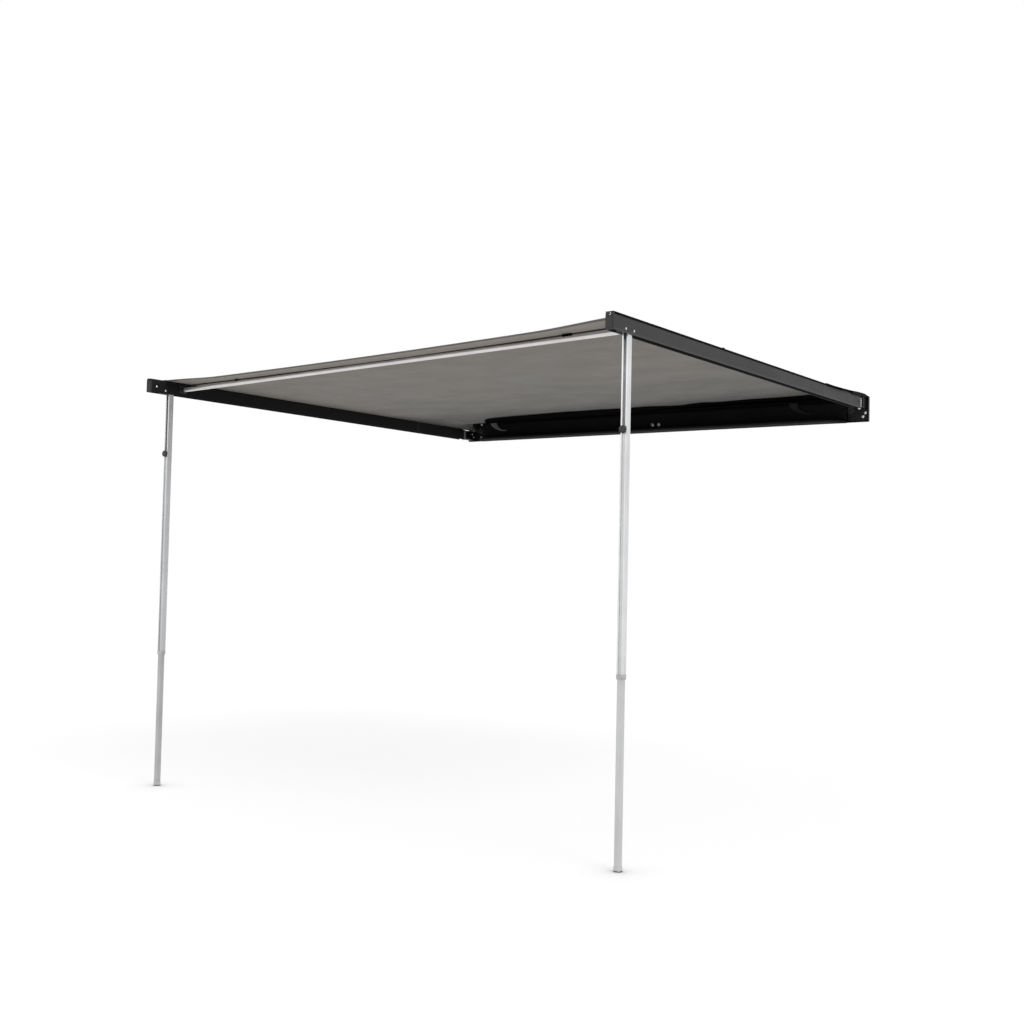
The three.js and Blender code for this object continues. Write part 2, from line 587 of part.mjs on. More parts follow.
/** A rivet that joins the arm's outer wall to the saddle. */
function saddleRivet(side, name, back) {
  const outside = ARM_WIDTH / 2;
  const inside = SADDLE_OUTSIDE / 2 - SADDLE_WALL;
  const shank = bar('x', [inside, 0, 0], RIVET_RADIUS, outside - inside + 2 * TOUCH_GAP);
  const head = domeHead(RIVET_HEAD_RADIUS, RIVET_HEAD_HEIGHT).rotate([0, 90, 0])
    .translate([outside + TOUCH_GAP, 0, 0]);
  const rivet = shank.add(head);
  const place = [0, back - armLength(side), RIVET_RISE - ARM_HALF];
  return part(`${side.name}_saddle_rivet_${name}`,
    (side.sign > 0 ? rivet : rivet.mirror([1, 0, 0])).translate(place), ZINC);
}

/** The plain pin across the saddle that the leg turns on, held in by the arm's walls. */
function legPivot(side) {
  const pin = bar('x', [-SADDLE_OUTSIDE / 2, 0, 0], PIVOT_RADIUS, SADDLE_OUTSIDE);
  return part(`${side.name}_leg_pivot_pin`,
    pin.translate([0, LEG_BACK - armLength(side), LEG_PIVOT_RISE - ARM_HALF]), ZINC);
}

// Spreader. Its tube slopes with the step between the arms.

const SPREADER_TILT = Math.atan2(ARM_STEP, 2 * INNER_FACE_X);
const SPREADER_MIDDLE_Z = (LOW_ARM_Z + HIGH_ARM_Z) / 2 - ARM_HALF + SPREADER_RISE;
const SPIGOT_END_X = INNER_FACE_X - TOUCH_GAP - SOCKET_PLATE - SPIGOT_PLAY;
const TUBE_END_X = SPIGOT_END_X - SOCKET_DEPTH - PLUG_FLANGE - SPIGOT_PLAY;

/** Lay something drawn level along x at the tube's slope and height. */
function alongSpreader(body) {
  return body.rotate([0, -THREE.MathUtils.radToDeg(SPREADER_TILT), 0])
    .translate([0, SPREADER_BACK - REACH, SPREADER_MIDDLE_Z]);
}

/** The open clip on an arm's inner face that a spigot slides into from the rear. */
function spreaderSocket(side) {
  const { sign } = side;
  const plateX = sign * (INNER_FACE_X - TOUCH_GAP);
  const z = side.z - ARM_HALF + SPREADER_RISE;
  const y = SPREADER_BACK - REACH;
  const plate = block([plateX, plateX - sign * SOCKET_PLATE],
    [y - SOCKET_PLATE_WIDTH / 2, y + SOCKET_PLATE_WIDTH / 2],
    [z - SOCKET_PLATE_HEIGHT / 2, z + SOCKET_PLATE_HEIGHT / 2]);
  const boss = bar('x', [plateX - sign * SOCKET_PLATE / 2, y, z], SOCKET_RADIUS,
    -sign * (SOCKET_PLATE / 2 + SOCKET_DEPTH), FINE_SIDES);
  const inside = sign * SPIGOT_END_X + sign * SPIGOT_PLAY;
  const seat = alongSpreader(bar('x', [inside, 0, 0], SPIGOT_RADIUS + SPIGOT_PLAY,
    -sign * (SOCKET_DEPTH + CUT_OVERRUN), FINE_SIDES));
  const mouth = alongSpreader(block([inside, inside - sign * (SOCKET_DEPTH + CUT_OVERRUN)],
    [0, SOCKET_PLATE_WIDTH],
    [-SPIGOT_RADIUS - SPIGOT_PLAY, SPIGOT_RADIUS + SPIGOT_PLAY]));
  const socket = plate.add(boss).subtract(seat).subtract(mouth);
  return part(`${side.name}_spreader_socket`, socket.translate([-sign * AXIS_X, side.hingeOut, -side.z]),
    BLACK_PLASTIC);
}

/** The spreader tube and the two plugs in its ends. */
function spreaderParts() {
  const stretch = 1 / Math.cos(SPREADER_TILT);
  const half = TUBE_END_X * stretch;
  const tube = bar('x', [-half, 0, 0], SPREADER_RADIUS, 2 * half, FINE_SIDES)
    .subtract(bar('x', [-half - CUT_OVERRUN, 0, 0], SPREADER_RADIUS - SPREADER_WALL,
      2 * (half + CUT_OVERRUN), FINE_SIDES));
  const plugs = Object.values(SIDES).map(({ name, sign }) => {
    const flangeX = sign * (half + TOUCH_GAP);
    const flange = bar('x', [flangeX, 0, 0], SPREADER_RADIUS, sign * PLUG_FLANGE, FINE_SIDES);
    const spigotLength = SPIGOT_END_X * stretch - half - TOUCH_GAP;
    const spigot = bar('x', [flangeX, 0, 0], SPIGOT_RADIUS, sign * spigotLength);
    const shank = bar('x', [flangeX + sign * TOUCH_GAP, 0, 0], SPREADER_RADIUS - SPREADER_WALL - TOUCH_GAP,
      -sign * PLUG_DEPTH);
    return part(`spreader_plug_${name}`, alongSpreader(flange.add(spigot).add(shank)), BLACK_PLASTIC);
  });
  return [part('spreader_tube', alongSpreader(tube), BARE_ALUMINIUM), ...plugs];
}

// Legs. Each is drawn about its own pivot, hanging down along -z.

/** Drop from a leg's pivot to the ground. */
const legDrop = (side) => GROUND_DROP + side.z - ARM_HALF + LEG_PIVOT_RISE;

/** The outer leg's section: a square tube with a slot down its front and grooves in its sides. */
function outerLegOutline() {
  const w = LEG_WIDTH / 2;
  const inside = LEG_INSIDE / 2;
  const slot = LEG_SLOT / 2;
  const g = LEG_GROOVE / 2;
  const grooved = (x) => {
    const sunk = x - Math.sign(x) * LEG_GROOVE_DEPTH;
    const points = [];
    for (const centre of [-LEG_GROOVE_OFFSET, LEG_GROOVE_OFFSET]) {
      points.push([x, centre - g], [sunk, centre], [x, centre + g]);
    }
    return x > 0 ? points : points.reverse();
  };
  return polygon([
    [slot, -w], [w, -w], ...grooved(w), [w, w], [-w, w], ...grooved(-w), [-w, -w], [-slot, -w],
    [-slot, -inside], [-inside, -inside], [-inside, inside], [inside, inside], [inside, -inside],
    [slot, -inside],
  ]);
}

/** The slotted outer leg. */
function outerLeg(side) {
  const length = OUTER_LEG_DROP + LEG_PIVOT_RISE - HEAD_SHOULDER - TOUCH_GAP;
  const body = extrusion(outerLegOutline(), length, ALONG_X, ALONG_Y)
    .translate([0, 0, -OUTER_LEG_DROP - LEG_PIVOT_RISE]);
  return part(`${side.name}_outer_leg`, body, BARE_ALUMINIUM);
}

/** The moulded head in the outer leg's top, round about the pivot. */
function legHead(side) {
  const w = LEG_WIDTH / 2;
  const round = bar('x', [-w - HEAD_BOSS, 0, 0], HEAD_SHOULDER, LEG_WIDTH + 2 * HEAD_BOSS, FINE_SIDES);
  const shoulder = block([-w, w], [-w, w], [-HEAD_SHOULDER, 0]);
  const p = LEG_INSIDE / 2 - HEAD_FIT;
  const plug = block([-p, p], [-p, p], [-HEAD_SHOULDER - HEAD_PLUG, 0]);
  const bore = bar('x', [-w - CUT_OVERRUN, 0, 0], PIVOT_RADIUS + RUNNING_GAP, LEG_WIDTH + 2 * CUT_OVERRUN);
  return part(`${side.name}_leg_head`, round.add(shoulder).add(plug).subtract(bore), BLACK_PLASTIC);
}

/** The collar on the outer leg's lower end that guides the inner leg. */
function legCollar(side) {
  const end = -OUTER_LEG_DROP - LEG_PIVOT_RISE;
  const w = COLLAR_WIDTH / 2;
  const bottom = end - TOUCH_GAP - COLLAR_LIP;
  const sleeve = LEG_WIDTH / 2 + TOUCH_GAP;
  const guide = INNER_LEG_WIDTH / 2 + INNER_LEG_FIT;
  const collar = block([-w, w], [-w, w], [bottom, end + COLLAR_SLEEVE])
    .subtract(block([-sleeve, sleeve], [-sleeve, sleeve],
      [end - TOUCH_GAP, end + COLLAR_SLEEVE + CUT_OVERRUN]))
    .subtract(block([-guide, guide], [-guide, guide], [bottom - CUT_OVERRUN, end + CUT_OVERRUN]));
  return part(`${side.name}_leg_collar`, collar, BLACK_PLASTIC);
}

/** Height of the knob's stud above or below the pivot. */
const knobZ = (side) => KNOB_ABOVE_GROUND - legDrop(side);

/** The square inner leg with the stud's hole near its top. */
function innerLeg(side) {
  const bottom = FOOT_HEIGHT - legDrop(side) + TOUCH_GAP;
  const top = knobZ(side) + INNER_LEG_ABOVE_KNOB;
  const outline = square(INNER_LEG_WIDTH, INNER_LEG_WIDTH);
  outline.holes.push(square(INNER_LEG_INSIDE, INNER_LEG_INSIDE));
  const hole = bar('y', [0, 0, knobZ(side)], STUD_RADIUS + RUNNING_GAP, -LEG_WIDTH);
  const tube = extrusion(outline, top - bottom, ALONG_X, ALONG_Y).translate([0, 0, bottom]);
  return part(`${side.name}_inner_leg`, tube.subtract(hole), BARE_ALUMINIUM);
}

/** The clamp shoe inside the inner leg, with the stud that comes out through the slot. */
function clampShoe(side) {
  const p = INNER_LEG_INSIDE / 2 - TOUCH_GAP;
  const z = knobZ(side);
  const shoe = block([-p, p], [-p, p], [z + SHOE_LENGTH / 2, z - SHOE_LENGTH / 2]);
  const stud = bar('y', [0, 0, z], STUD_RADIUS, -STUD_LENGTH);
  return part(`${side.name}_clamp_shoe`, shoe.add(stud), ZINC);
}

/** The fluted knob on the stud, blind at its front. */
function clampKnob(side) {
  const outline = new THREE.Shape();
  const steps = KNOB_LOBES * CORNER_STEPS;
  for (let i = 0; i < steps; i += 1) {
    const angle = (i / steps) * 2 * Math.PI;
    const radius = KNOB_RADIUS - KNOB_FLUTE_DEPTH * (1 - Math.cos(KNOB_LOBES * angle)) / 2;
    const point = [radius * Math.cos(angle), radius * Math.sin(angle)];
    if (i) outline.lineTo(...point);
    else outline.moveTo(...point);
  }
  const back = -LEG_WIDTH / 2 - KNOB_STANDOFF;
  const knob = extrusion(outline, KNOB_THICKNESS, ALONG_X, ALONG_Z, [0, back, 0]);
  const bore = bar('y', [0, 0, 0], STUD_RADIUS + RUNNING_GAP, -STUD_LENGTH - TOUCH_GAP);
  return part(`${side.name}_clamp_knob`, knob.subtract(bore).translate([0, 0, knobZ(side)]), BLACK_PLASTIC);
}

/** The rubber foot plugged into the inner leg. */
function foot(side) {
  const bottom = -legDrop(side);
  const w = FOOT_WIDTH / 2;
  const p = INNER_LEG_INSIDE / 2 - TOUCH_GAP;
  const pad = block([-w, w], [-w, w], [bottom, bottom + FOOT_HEIGHT]);
  const plug = block([-p, p], [-p, p], [bottom + FOOT_HEIGHT / 2, bottom + FOOT_HEIGHT + FOOT_PLUG]);
  return part(`${side.name}_foot`, pad.add(plug), RUBBER);
}

// Canopy and bag

const CANOPY_HALF = SPAN / 2 - CANOPY_INSET;
const CANOPY_BACK_Y = -RAIL_DEPTH - CANOPY_LIFT;
const CANOPY_BACK_Z = TRACK_Z - CANOPY_THICKNESS / 2;
const CLOTH_XS = stations(-INNER_FACE_X, INNER_FACE_X, CANOPY_COLUMNS);
const REAR_YS = stations(-FLAP_REACH, CANOPY_BACK_Y, CANOPY_REAR_ROWS);

/** The canopy's underside: level over the folded arms, then down to each arm's top, sagging. */
function canopyBottom(x, y) {
  const down = ease(-y, CANOPY_LEVEL_BACK, CANOPY_RAMP);
  const edge = (side) => THREE.MathUtils.lerp(CANOPY_BACK_Z, side.z + ARM_HALF + CANOPY_LIFT, down);
  const across = THREE.MathUtils.clamp((x + INNER_FACE_X) / (2 * INNER_FACE_X), 0, 1);
  const sag = CANOPY_SAG * down * (1 - (2 * across - 1) ** 2);
  return THREE.MathUtils.lerp(edge(SIDES.left), edge(SIDES.right), across) - sag;
}

/** The canopy as one curved sheet from the rail to the arm tips, flat where it lies on an arm. */
function canopy() {
  const front = stations(CANOPY_FRONT_INSET - REACH, -FLAP_REACH, CANOPY_FRONT_ROWS).slice(0, -1);
  const xs = [-CANOPY_HALF, ...CLOTH_XS, CANOPY_HALF];
  const body = sheet(xs, [...front, ...REAR_YS], canopyBottom, CANOPY_THICKNESS);
  return part('canopy', body, CANOPY_CLOTH);
}

/** The bag floor's outline in x and y, inside its edge by a margin: straight behind, round ends. */
function bagFloorOutline(inset) {
  const back = -RAIL_DEPTH - TOUCH_GAP + inset;
  const half = BAG_HALF - inset;
  const points = [];
  for (let i = 0; i <= BAG_CORNER_STEPS; i += 1) {
    const angle = (i / BAG_CORNER_STEPS) * (Math.PI / 2);
    points.push([half - BAG_CORNER * (1 - Math.cos(angle)),
      back - (BAG_DEPTH - RAIL_DEPTH - inset) * Math.sin(angle)]);
  }
  return polygon([...points, ...points.map(([x, y]) => [-x, y]).reverse()].reverse());
}

/** The open bag: a floor with round ends and a low lip, and a liner on the rail between the brackets. */
function bagBody() {
  const floor = RAIL_BOTTOM - BAG_DROP;
  const back = -RAIL_DEPTH - TOUCH_GAP;
  const tray = extrusion(bagFloorOutline(0), BAG_LIP, ALONG_X, ALONG_Y, [0, 0, floor]);
  const hollow = extrusion(bagFloorOutline(BAG_THICKNESS), BAG_LIP + CUT_OVERRUN, ALONG_X, ALONG_Y,
    [0, 0, floor + BAG_THICKNESS]);
  const liner = block([-BAG_HALF, BAG_HALF], [back, back - BAG_THICKNESS], [floor, BAG_BACK_TOP]);
  return part('bag_body', tray.subtract(hollow).add(liner), BAG_CLOTH);
}

/** The bag's top flap, from the rail's top edge over the canopy's rear, standing up near the rail. */
function bagTopFlap() {
  const rear = RAIL_DEPTH + TOUCH_GAP;
  const underside = (x, y) => {
    const within = THREE.MathUtils.clamp(x, -CANOPY_HALF, CANOPY_HALF);
    const slack = FLAP_RISE * (1 - ease(-y, rear + FLAP_RAMP, FLAP_REACH - rear - FLAP_RAMP));
    const resting = canopyBottom(within, Math.min(y, CANOPY_BACK_Y)) + CANOPY_THICKNESS + TOUCH_GAP;
    return THREE.MathUtils.lerp(RAIL_TOP + TOUCH_GAP, resting + slack, ease(-y, rear, FLAP_RAMP));
  };
  const half = RAIL_LENGTH / 2;
  const body = sheet([-half, ...CLOTH_XS, half], [...REAR_YS, 0], underside, FLAP_THICKNESS);
  return part('bag_top_flap', body, BAG_CLOTH);
}

// Assembly

/** Everything that swings with one arm, in a group at its hinge axis. */
function armAssembly(side) {
  const arm = new THREE.Group();
  arm.position.set(side.sign * AXIS_X, -side.hingeOut, side.z);
  arm.add(armChannel(side), armFrontCap(side), rearKnuckle(side), knuckleScrew(side), legSaddle(side));
  arm.add(saddleRivet(side, 'front', RIVET_BACK[0]), saddleRivet(side, 'rear', RIVET_BACK[1]));
  arm.add(legPivot(side), spreaderSocket(side));
  const leg = new THREE.Group();
  leg.position.set(0, LEG_BACK - armLength(side), LEG_PIVOT_RISE - ARM_HALF);
  leg.add(outerLeg(side), legHead(side), legCollar(side), innerLeg(side));
  leg.add(clampShoe(side), clampKnob(side), foot(side));
  arm.add(leg);
  return arm;
}

const awning = new THREE.Group();
awning.add(backRail(), beadRod(), canopy(), bagBody(), bagTopFlap());
awning.add(railBolt('rail_bolt_left', RAIL_BOLT_X[0], RAIL_BOTTOM + RAIL_BOLT_RISE, RAIL_WALL, ZINC));
awning.add(railBolt('rail_bolt_right', RAIL_BOLT_X[1], RAIL_BOTTOM + RAIL_BOLT_RISE, RAIL_WALL, ZINC));
for (const side of Object.values(SIDES)) {
  awning.add(railEndCap(side), hingeBracket(side), ...hingeFittings(side), armAssembly(side));
}
awning.add(...spreaderParts());

export default awning;
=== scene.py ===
import logging
import math
from collections.abc import Callable, Mapping, Sequence
from dataclasses import dataclass, field
from enum import Enum
from functools import reduce

import bmesh
import bpy
from mathutils import Matrix, Vector, noise
from mathutils.geometry import tessellate_polygon


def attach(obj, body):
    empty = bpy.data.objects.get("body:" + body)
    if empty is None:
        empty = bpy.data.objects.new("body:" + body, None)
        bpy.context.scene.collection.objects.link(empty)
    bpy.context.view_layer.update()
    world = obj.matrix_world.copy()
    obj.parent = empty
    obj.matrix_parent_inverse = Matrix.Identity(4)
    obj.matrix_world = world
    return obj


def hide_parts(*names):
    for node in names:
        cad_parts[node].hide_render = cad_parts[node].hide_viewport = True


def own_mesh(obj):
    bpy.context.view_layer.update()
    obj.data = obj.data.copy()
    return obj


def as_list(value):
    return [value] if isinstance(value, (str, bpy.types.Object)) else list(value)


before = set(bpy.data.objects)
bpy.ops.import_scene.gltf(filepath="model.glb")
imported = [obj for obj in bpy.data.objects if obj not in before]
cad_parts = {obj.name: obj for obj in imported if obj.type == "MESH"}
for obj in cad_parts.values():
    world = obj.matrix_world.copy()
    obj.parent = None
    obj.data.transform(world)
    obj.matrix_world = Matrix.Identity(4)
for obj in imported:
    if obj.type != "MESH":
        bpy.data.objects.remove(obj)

log = logging.getLogger("awning")
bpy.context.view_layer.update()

Colour = tuple[float, float, float]
Flat = tuple[float, float]
Node = bpy.types.Node
Piece = bpy.types.Object
Socket = bpy.types.NodeSocket

# A full turn, and the gap in metres that is left between neighbouring pieces
TURN = 2 * math.pi
GAP = 0.0003
# The way up, and the way out from the vehicle's side
UP = (0, 0, 1)
OUTWARD = (0, -1, 0)


class Side(Enum):
    """The two sides of the awning, seen from the vehicle's outside."""

    RIGHT = 1
    LEFT = -1

    @property
    def word(self) -> str:
        """The side's name in piece and node names."""
        return self.name.lower()


class Run(Enum):
    """The axis a straight bar runs along; its section lies in the two others."""

    X = "x"
    Y = "y"
    Z = "z"

    def place(self, u: float, v: float, w: float) -> Vector:
        """Put a section point (u, v) at distance w along the run."""
        return {Run.X: Vector((w, u, v)), Run.Y: Vector((u, w, v)), Run.Z: Vector((u, v, w))}[self]


def smooth_step(value: float, low: float, high: float) -> float:
    """Ease from 0 at low to 1 at high."""
    t = min(1.0, max(0.0, (value - low) / (high - low)))
    return t * t * (3 - 2 * t)


def bell(value: float, centre: float, width: float) -> float:
    """A smooth bump of height 1 about a centre."""
    return math.exp(-((value - centre) / width) ** 2)


def ripple(size: float, *place: float) -> float:
    """Smooth noise of some size at a place in three coordinates."""
    return size * noise.noise(Vector(place))


def along(table: Sequence[Flat], at: float) -> float:
    """Read a value off a table, easing between its entries.

    Args:
        table: Pairs of a place and a value, the places rising.
        at: The place to read.

    Returns:
        The value there.
    """
    for (low, start), (high, end) in zip(table, table[1:]):
        if at <= high:
            return start + (end - start) * smooth_step(at, low, high)
    return table[-1][1]


def steps_between(start: float, end: float, count: int) -> list[float]:
    """Evenly spaced stations, both ends included."""
    return [start + (end - start) * i / count for i in range(count + 1)]


@dataclass(frozen=True)
class Layout:
    """Sizes that the sub-assemblies share, in metres."""

    span: float = 2.520
    reach: float = 2.480
    ground: float = -1.885
    rail_length: float = 2.546
    rail_height: float = 0.128
    rail_depth: float = 0.016
    rail_wall: float = 0.003
    arm_width: float = 0.034
    arm_height: float = 0.062
    arm_wall: float = 0.0016
    arm_corner: float = 0.006
    low_arm_z: float = -0.031
    arm_step: float = 0.059
    right_hinge_out: float = 0.060
    left_hinge_out: float = 0.110
    leg_back: float = 0.121
    leg_pivot_rise: float = 0.032
    knob_height: float = 1.545
    spreader_back: float = 0.183
    spreader_rise: float = 0.029
    canopy_inset: float = 0.003
    canopy_front_inset: float = 0.080
    canopy_lift: float = 0.0004
    canopy_drop: float = 0.0045
    canopy_level: float = 0.135
    canopy_ramp: float = 0.200
    canopy_sag: float = 0.009

    @property
    def axis_x(self) -> float:
        """Distance of each hinge axis from the middle."""
        return (self.span - self.arm_width) / 2

    @property
    def inner_face(self) -> float:
        """Distance of each arm's inner face from the middle."""
        return self.span / 2 - self.arm_width

    @property
    def canopy_half(self) -> float:
        """Half the canopy's width."""
        return self.span / 2 - self.canopy_inset

    @property
    def leg_y(self) -> float:
        """Where the legs stand, out from the rail."""
        return self.leg_back - self.reach

    @property
    def rail_top(self) -> float:
        """Height of the rail's top edge over its middle."""
        return self.rail_height / 2

    def arm_z(self, side: Side) -> float:
        """Height of an arm's centre line."""
        return self.low_arm_z + (self.arm_step if side is Side.RIGHT else 0.0)

    def arm_top(self, side: Side) -> float:
        """Height of an arm's top face."""
        return self.arm_z(side) + self.arm_height / 2

    def hinge_out(self, side: Side) -> float:
        """Distance of a hinge axis from the mounting face."""
        return self.right_hinge_out if side is Side.RIGHT else self.left_hinge_out

    def pivot_z(self, side: Side) -> float:
        """Height of a leg's pivot."""
        return self.arm_z(side) - self.arm_height / 2 + self.leg_pivot_rise

    def canopy_under(self, x: float, y: float) -> float:
        """Height of the canopy's underside over a point.

        Args:
            x: Distance along the vehicle.
            y: Distance from the mounting face, negative outward.

        Returns:
            The height in metres.
        """
        down = smooth_step(-y, self.canopy_level, self.canopy_level + self.canopy_ramp)
        rear = self.rail_top - self.canopy_drop
        rise = self.canopy_lift - rear
        left, right = (rear + (self.arm_top(side) + rise) * down for side in (Side.LEFT, Side.RIGHT))
        across = min(1.0, max(0.0, (x + self.inner_face) / (2 * self.inner_face)))
        return left + (right - left) * across - self.canopy_sag * down * (1 - (2 * across - 1) ** 2)


SIZES = Layout()


# Shapes

@dataclass
class Shape:
    """Points and faces of a mesh that isn't yet a piece."""

    points: list[Vector] = field(default_factory=list)
    faces: list[tuple[int, ...]] = field(default_factory=list)

    def add(self, other: "Shape") -> "Shape":
        """Take in another shape's points and faces, and return this shape.

        Args:
            other: The shape to take in.

        Returns:
            This shape.
        """
        start = len(self.points)
        self.points += other.points
        self.faces += [tuple(i + start for i in face) for face in other.faces]
        return self


def rounded(corners: Sequence[Flat], radius: float | Sequence[float], steps: int = 5) -> list[Flat]:
    """Round the corners of a flat outline.

    Args:
        corners: The outline's corners in order.
        radius: One radius for all corners, or one for each.
        steps: Segments in each rounded corner.

    Returns:
        The outline with an arc at each corner whose radius isn't 0.
    """
    radii = [radius] * len(corners) if isinstance(radius, (int, float)) else list(radius)
    outline: list[Flat] = []
    for i, r in enumerate(radii):
        here = Vector(corners[i])
        back = (Vector(corners[i - 1]) - here).normalized()
        ahead = (Vector(corners[(i + 1) % len(corners)]) - here).normalized()
        if r <= 0:
            outline.append(tuple(here))
            continue
        half = math.acos(max(-1.0, min(1.0, back.dot(ahead)))) / 2
        centre = here + (back + ahead).normalized() * (r / math.sin(half))
        first = here + back * (r / math.tan(half)) - centre
        last = here + ahead * (r / math.tan(half)) - centre
        for k in range(steps + 1):
            outline.append(tuple(centre + first.lerp(last, k / steps).normalized() * r))
    return outline


def oblong(u0: float, u1: float, v0: float, v1: float, radius: float = 0.0) -> list[Flat]:
    """A flat rectangle between two corners, with rounded corners if a radius is given."""
    return rounded([(u0, v0), (u1, v0), (u1, v1), (u0, v1)], radius)


def ring(radius: float, sides: int, centre: Flat = (0.0, 0.0)) -> list[Flat]:
    """A flat circle."""
    spokes = [TURN * i / sides for i in range(sides)]
    return [(centre[0] + radius * math.cos(a), centre[1] + radius * math.sin(a)) for a in spokes]


def crown(radius: float, base: float, height: float, angles: Sequence[float]) -> list[Flat]:
    """The outline of a low domed head, from its rim up.

    Args:
        radius: The head's radius.
        base: Where the head starts.
        height: How high it rises.
        angles: Where the dome's points lie, in radians from the rim.

    Returns:
        Pairs of radius and height.
    """
    rim = 0.25
    dome = [(radius * math.cos(a), base + height * (rim + (1 - rim) * math.sin(a))) for a in angles]
    return [(radius, base + height * rim)] + dome


def bar(loops: Sequence[Sequence[Flat]], start: float, end: float, run: Run) -> Shape:
    """A straight bar of one section.

    Args:
        loops: The section's outline, then any holes in it.
        start: Where the bar starts along its run.
        end: Where it ends.
        run: The axis it runs along.

    Returns:
        The closed shape.
    """
    shape = Shape([run.place(u, v, w) for w in (start, end) for loop in loops for u, v in loop])
    total = sum(len(loop) for loop in loops)
    first = 0
    for loop in loops:
        for i in range(len(loop)):
            a, b = first + i, first + (i + 1) % len(loop)
            shape.faces.append((a, b, b + total, a + total))
        first += len(loop)
    for tri in tessellate_polygon([[Vector((u, v, 0)) for u, v in loop] for loop in loops]):
        shape.faces += [tuple(tri), tuple(i + total for i in tri)]
    return shape


def turning(profile: Sequence[Flat], sides: int, origin: Sequence[float], axis: Sequence[float],
            flutes: int = 0, depth: float = 0.0) -> Shape:
    """A turned shape about an axis.

    Args:
        profile: Pairs of radius and height, from axis to axis or closed on itself.
        sides: Segments round the axis.
        origin: The profile's height 0.
        axis: The direction of growing height.
        flutes: Number of hollows round the outside.
        depth: How deep the hollows go.

    Returns:
        The closed shape.
    """
    shape = Shape()
    on_axis = 1e-7
    spin = Vector(axis).to_track_quat("Z", "Y").to_matrix().to_4x4()
    spin.translation = Vector(origin)
    widest = max(r for r, _ in profile)
    rows: list[list[int]] = []
    for r, h in profile:
        row = []
        for i in range(1 if r < on_axis else sides):
            a = TURN * i / sides
            cut = depth * (r / widest) ** 4 * (1 - math.cos(flutes * a)) / 2
            shape.points.append(spin @ Vector(((r - cut) * math.cos(a), (r - cut) * math.sin(a), h)))
            row.append(len(shape.points) - 1)
        rows.append(row)
    if profile[0][0] > on_axis:
        rows.append(rows[0])
    for low, high in zip(rows, rows[1:]):
        for i in range(sides):
            j = (i + 1) % sides
            if len(low) == 1 and len(high) > 1:
                shape.faces.append((low[0], high[i], high[j]))
            elif len(high) == 1 and len(low) > 1:
                shape.faces.append((low[i], high[0], low[j]))
            elif len(low) > 1:
                shape.faces.append((low[i], high[i], high[j], low[j]))
    return shape


def pipe(path: Sequence[Vector], radius: float, sides: int = 8) -> Shape:
    """A round cord along a path, closed at both ends.

    Args:
        path: The points of its middle line.
        radius: Its radius.
        sides: Segments round it.

    Returns:
        The closed shape.
    """
    shape = Shape()
    for k, point in enumerate(path):
        ahead = (path[min(k + 1, len(path) - 1)] - path[max(k - 1, 0)]).normalized()
        across = ahead.cross(Vector(UP))
        across = across.normalized() if across.length > 1e-4 else Vector((1, 0, 0))
        up = across.cross(ahead).normalized()
        shape.points += [point + across * u + up * v for u, v in ring(radius, sides)]
    for k in range(len(path) - 1):
        for i in range(sides):
            a, b = k * sides + i, k * sides + (i + 1) % sides
            shape.faces.append((a, b, b + sides, a + sides))
    last = (len(path) - 1) * sides
    shape.faces += [tuple(range(sides)), tuple(range(last, last + sides))]
    return shape


def grid(us: Sequence[float], vs: Sequence[float], at: Callable[[float, float], Vector]) -> Shape:
    """An open sheet of quads with one point for each pair of stations.

    Args:
        us: Stations along each row.
        vs: Stations from row to row.
        at: The point at a pair of stations.

    Returns:
        The open shape.
    """
    n = len(us)
    corners = [j * n + i for j in range(len(vs) - 1) for i in range(n - 1)]
    return Shape([at(u, v) for v in vs for u in us], [(k, k + 1, k + n + 1, k + n) for k in corners])


# Pieces

def make_piece(name: str, shape: Shape, crease_deg: float) -> Piece:
    """Turn a shape into an object with clean, outward faces.

    Args:
        name: The piece's name.
        shape: Its points and faces.
        crease_deg: Edges sharper than this stay sharp.

    Returns:
        The object, linked to the scene.
    """
    mesh = bpy.data.meshes.new(name)
    work = bmesh.new()
    made = [work.verts.new(p) for p in shape.points]
    for face in shape.faces:
        if len(set(face)) > 2:
            try:
                work.faces.new([made[i] for i in face])
            except ValueError:
                continue
    bmesh.ops.remove_doubles(work, verts=work.verts, dist=1e-6)
    flat = [e for e in work.edges if len(e.link_faces) == 2 and all(len(f.verts) == 3 for f in e.link_faces)]
    bmesh.ops.dissolve_limit(work, angle_limit=math.radians(0.2), verts=work.verts, edges=flat)
    bmesh.ops.recalc_face_normals(work, faces=work.faces)
    work.to_mesh(mesh)
    work.free()
    mesh.shade_smooth()
    mesh.set_sharp_from_angle(angle=math.radians(crease_deg))
    obj = bpy.data.objects.new(name, mesh)
    bpy.context.scene.collection.objects.link(obj)
    return obj


def soften(obj: Piece, width: float) -> None:
    """Break a piece's sharp edges by a small round.

    Args:
        obj: The piece.
        width: The round's width.
    """
    bevel = obj.modifiers.new("edge_break", "BEVEL")
    bevel.width = width
    bevel.segments = 2
    bevel.limit_method = "ANGLE"
    bevel.angle_limit = math.radians(35)
    bevel.use_clamp_overlap = True
    bevel.harden_normals = True


def thicken(obj: Piece, wall: float) -> None:
    """Turn an open sheet into a closed one of some thickness.

    Args:
        obj: The sheet.
        wall: Its thickness.
    """
    solid = obj.modifiers.new("thickness", "SOLIDIFY")
    solid.thickness = wall
    solid.offset = 0.0
    solid.use_even_offset = True
    bpy.context.view_layer.update()
    depsgraph = bpy.context.evaluated_depsgraph_get()
    mesh = bpy.data.meshes.new_from_object(obj.evaluated_get(depsgraph), depsgraph=depsgraph)
    obj.modifiers.clear()
    old = obj.data
    obj.data = mesh
    bpy.data.meshes.remove(old)
    mesh.name = obj.name


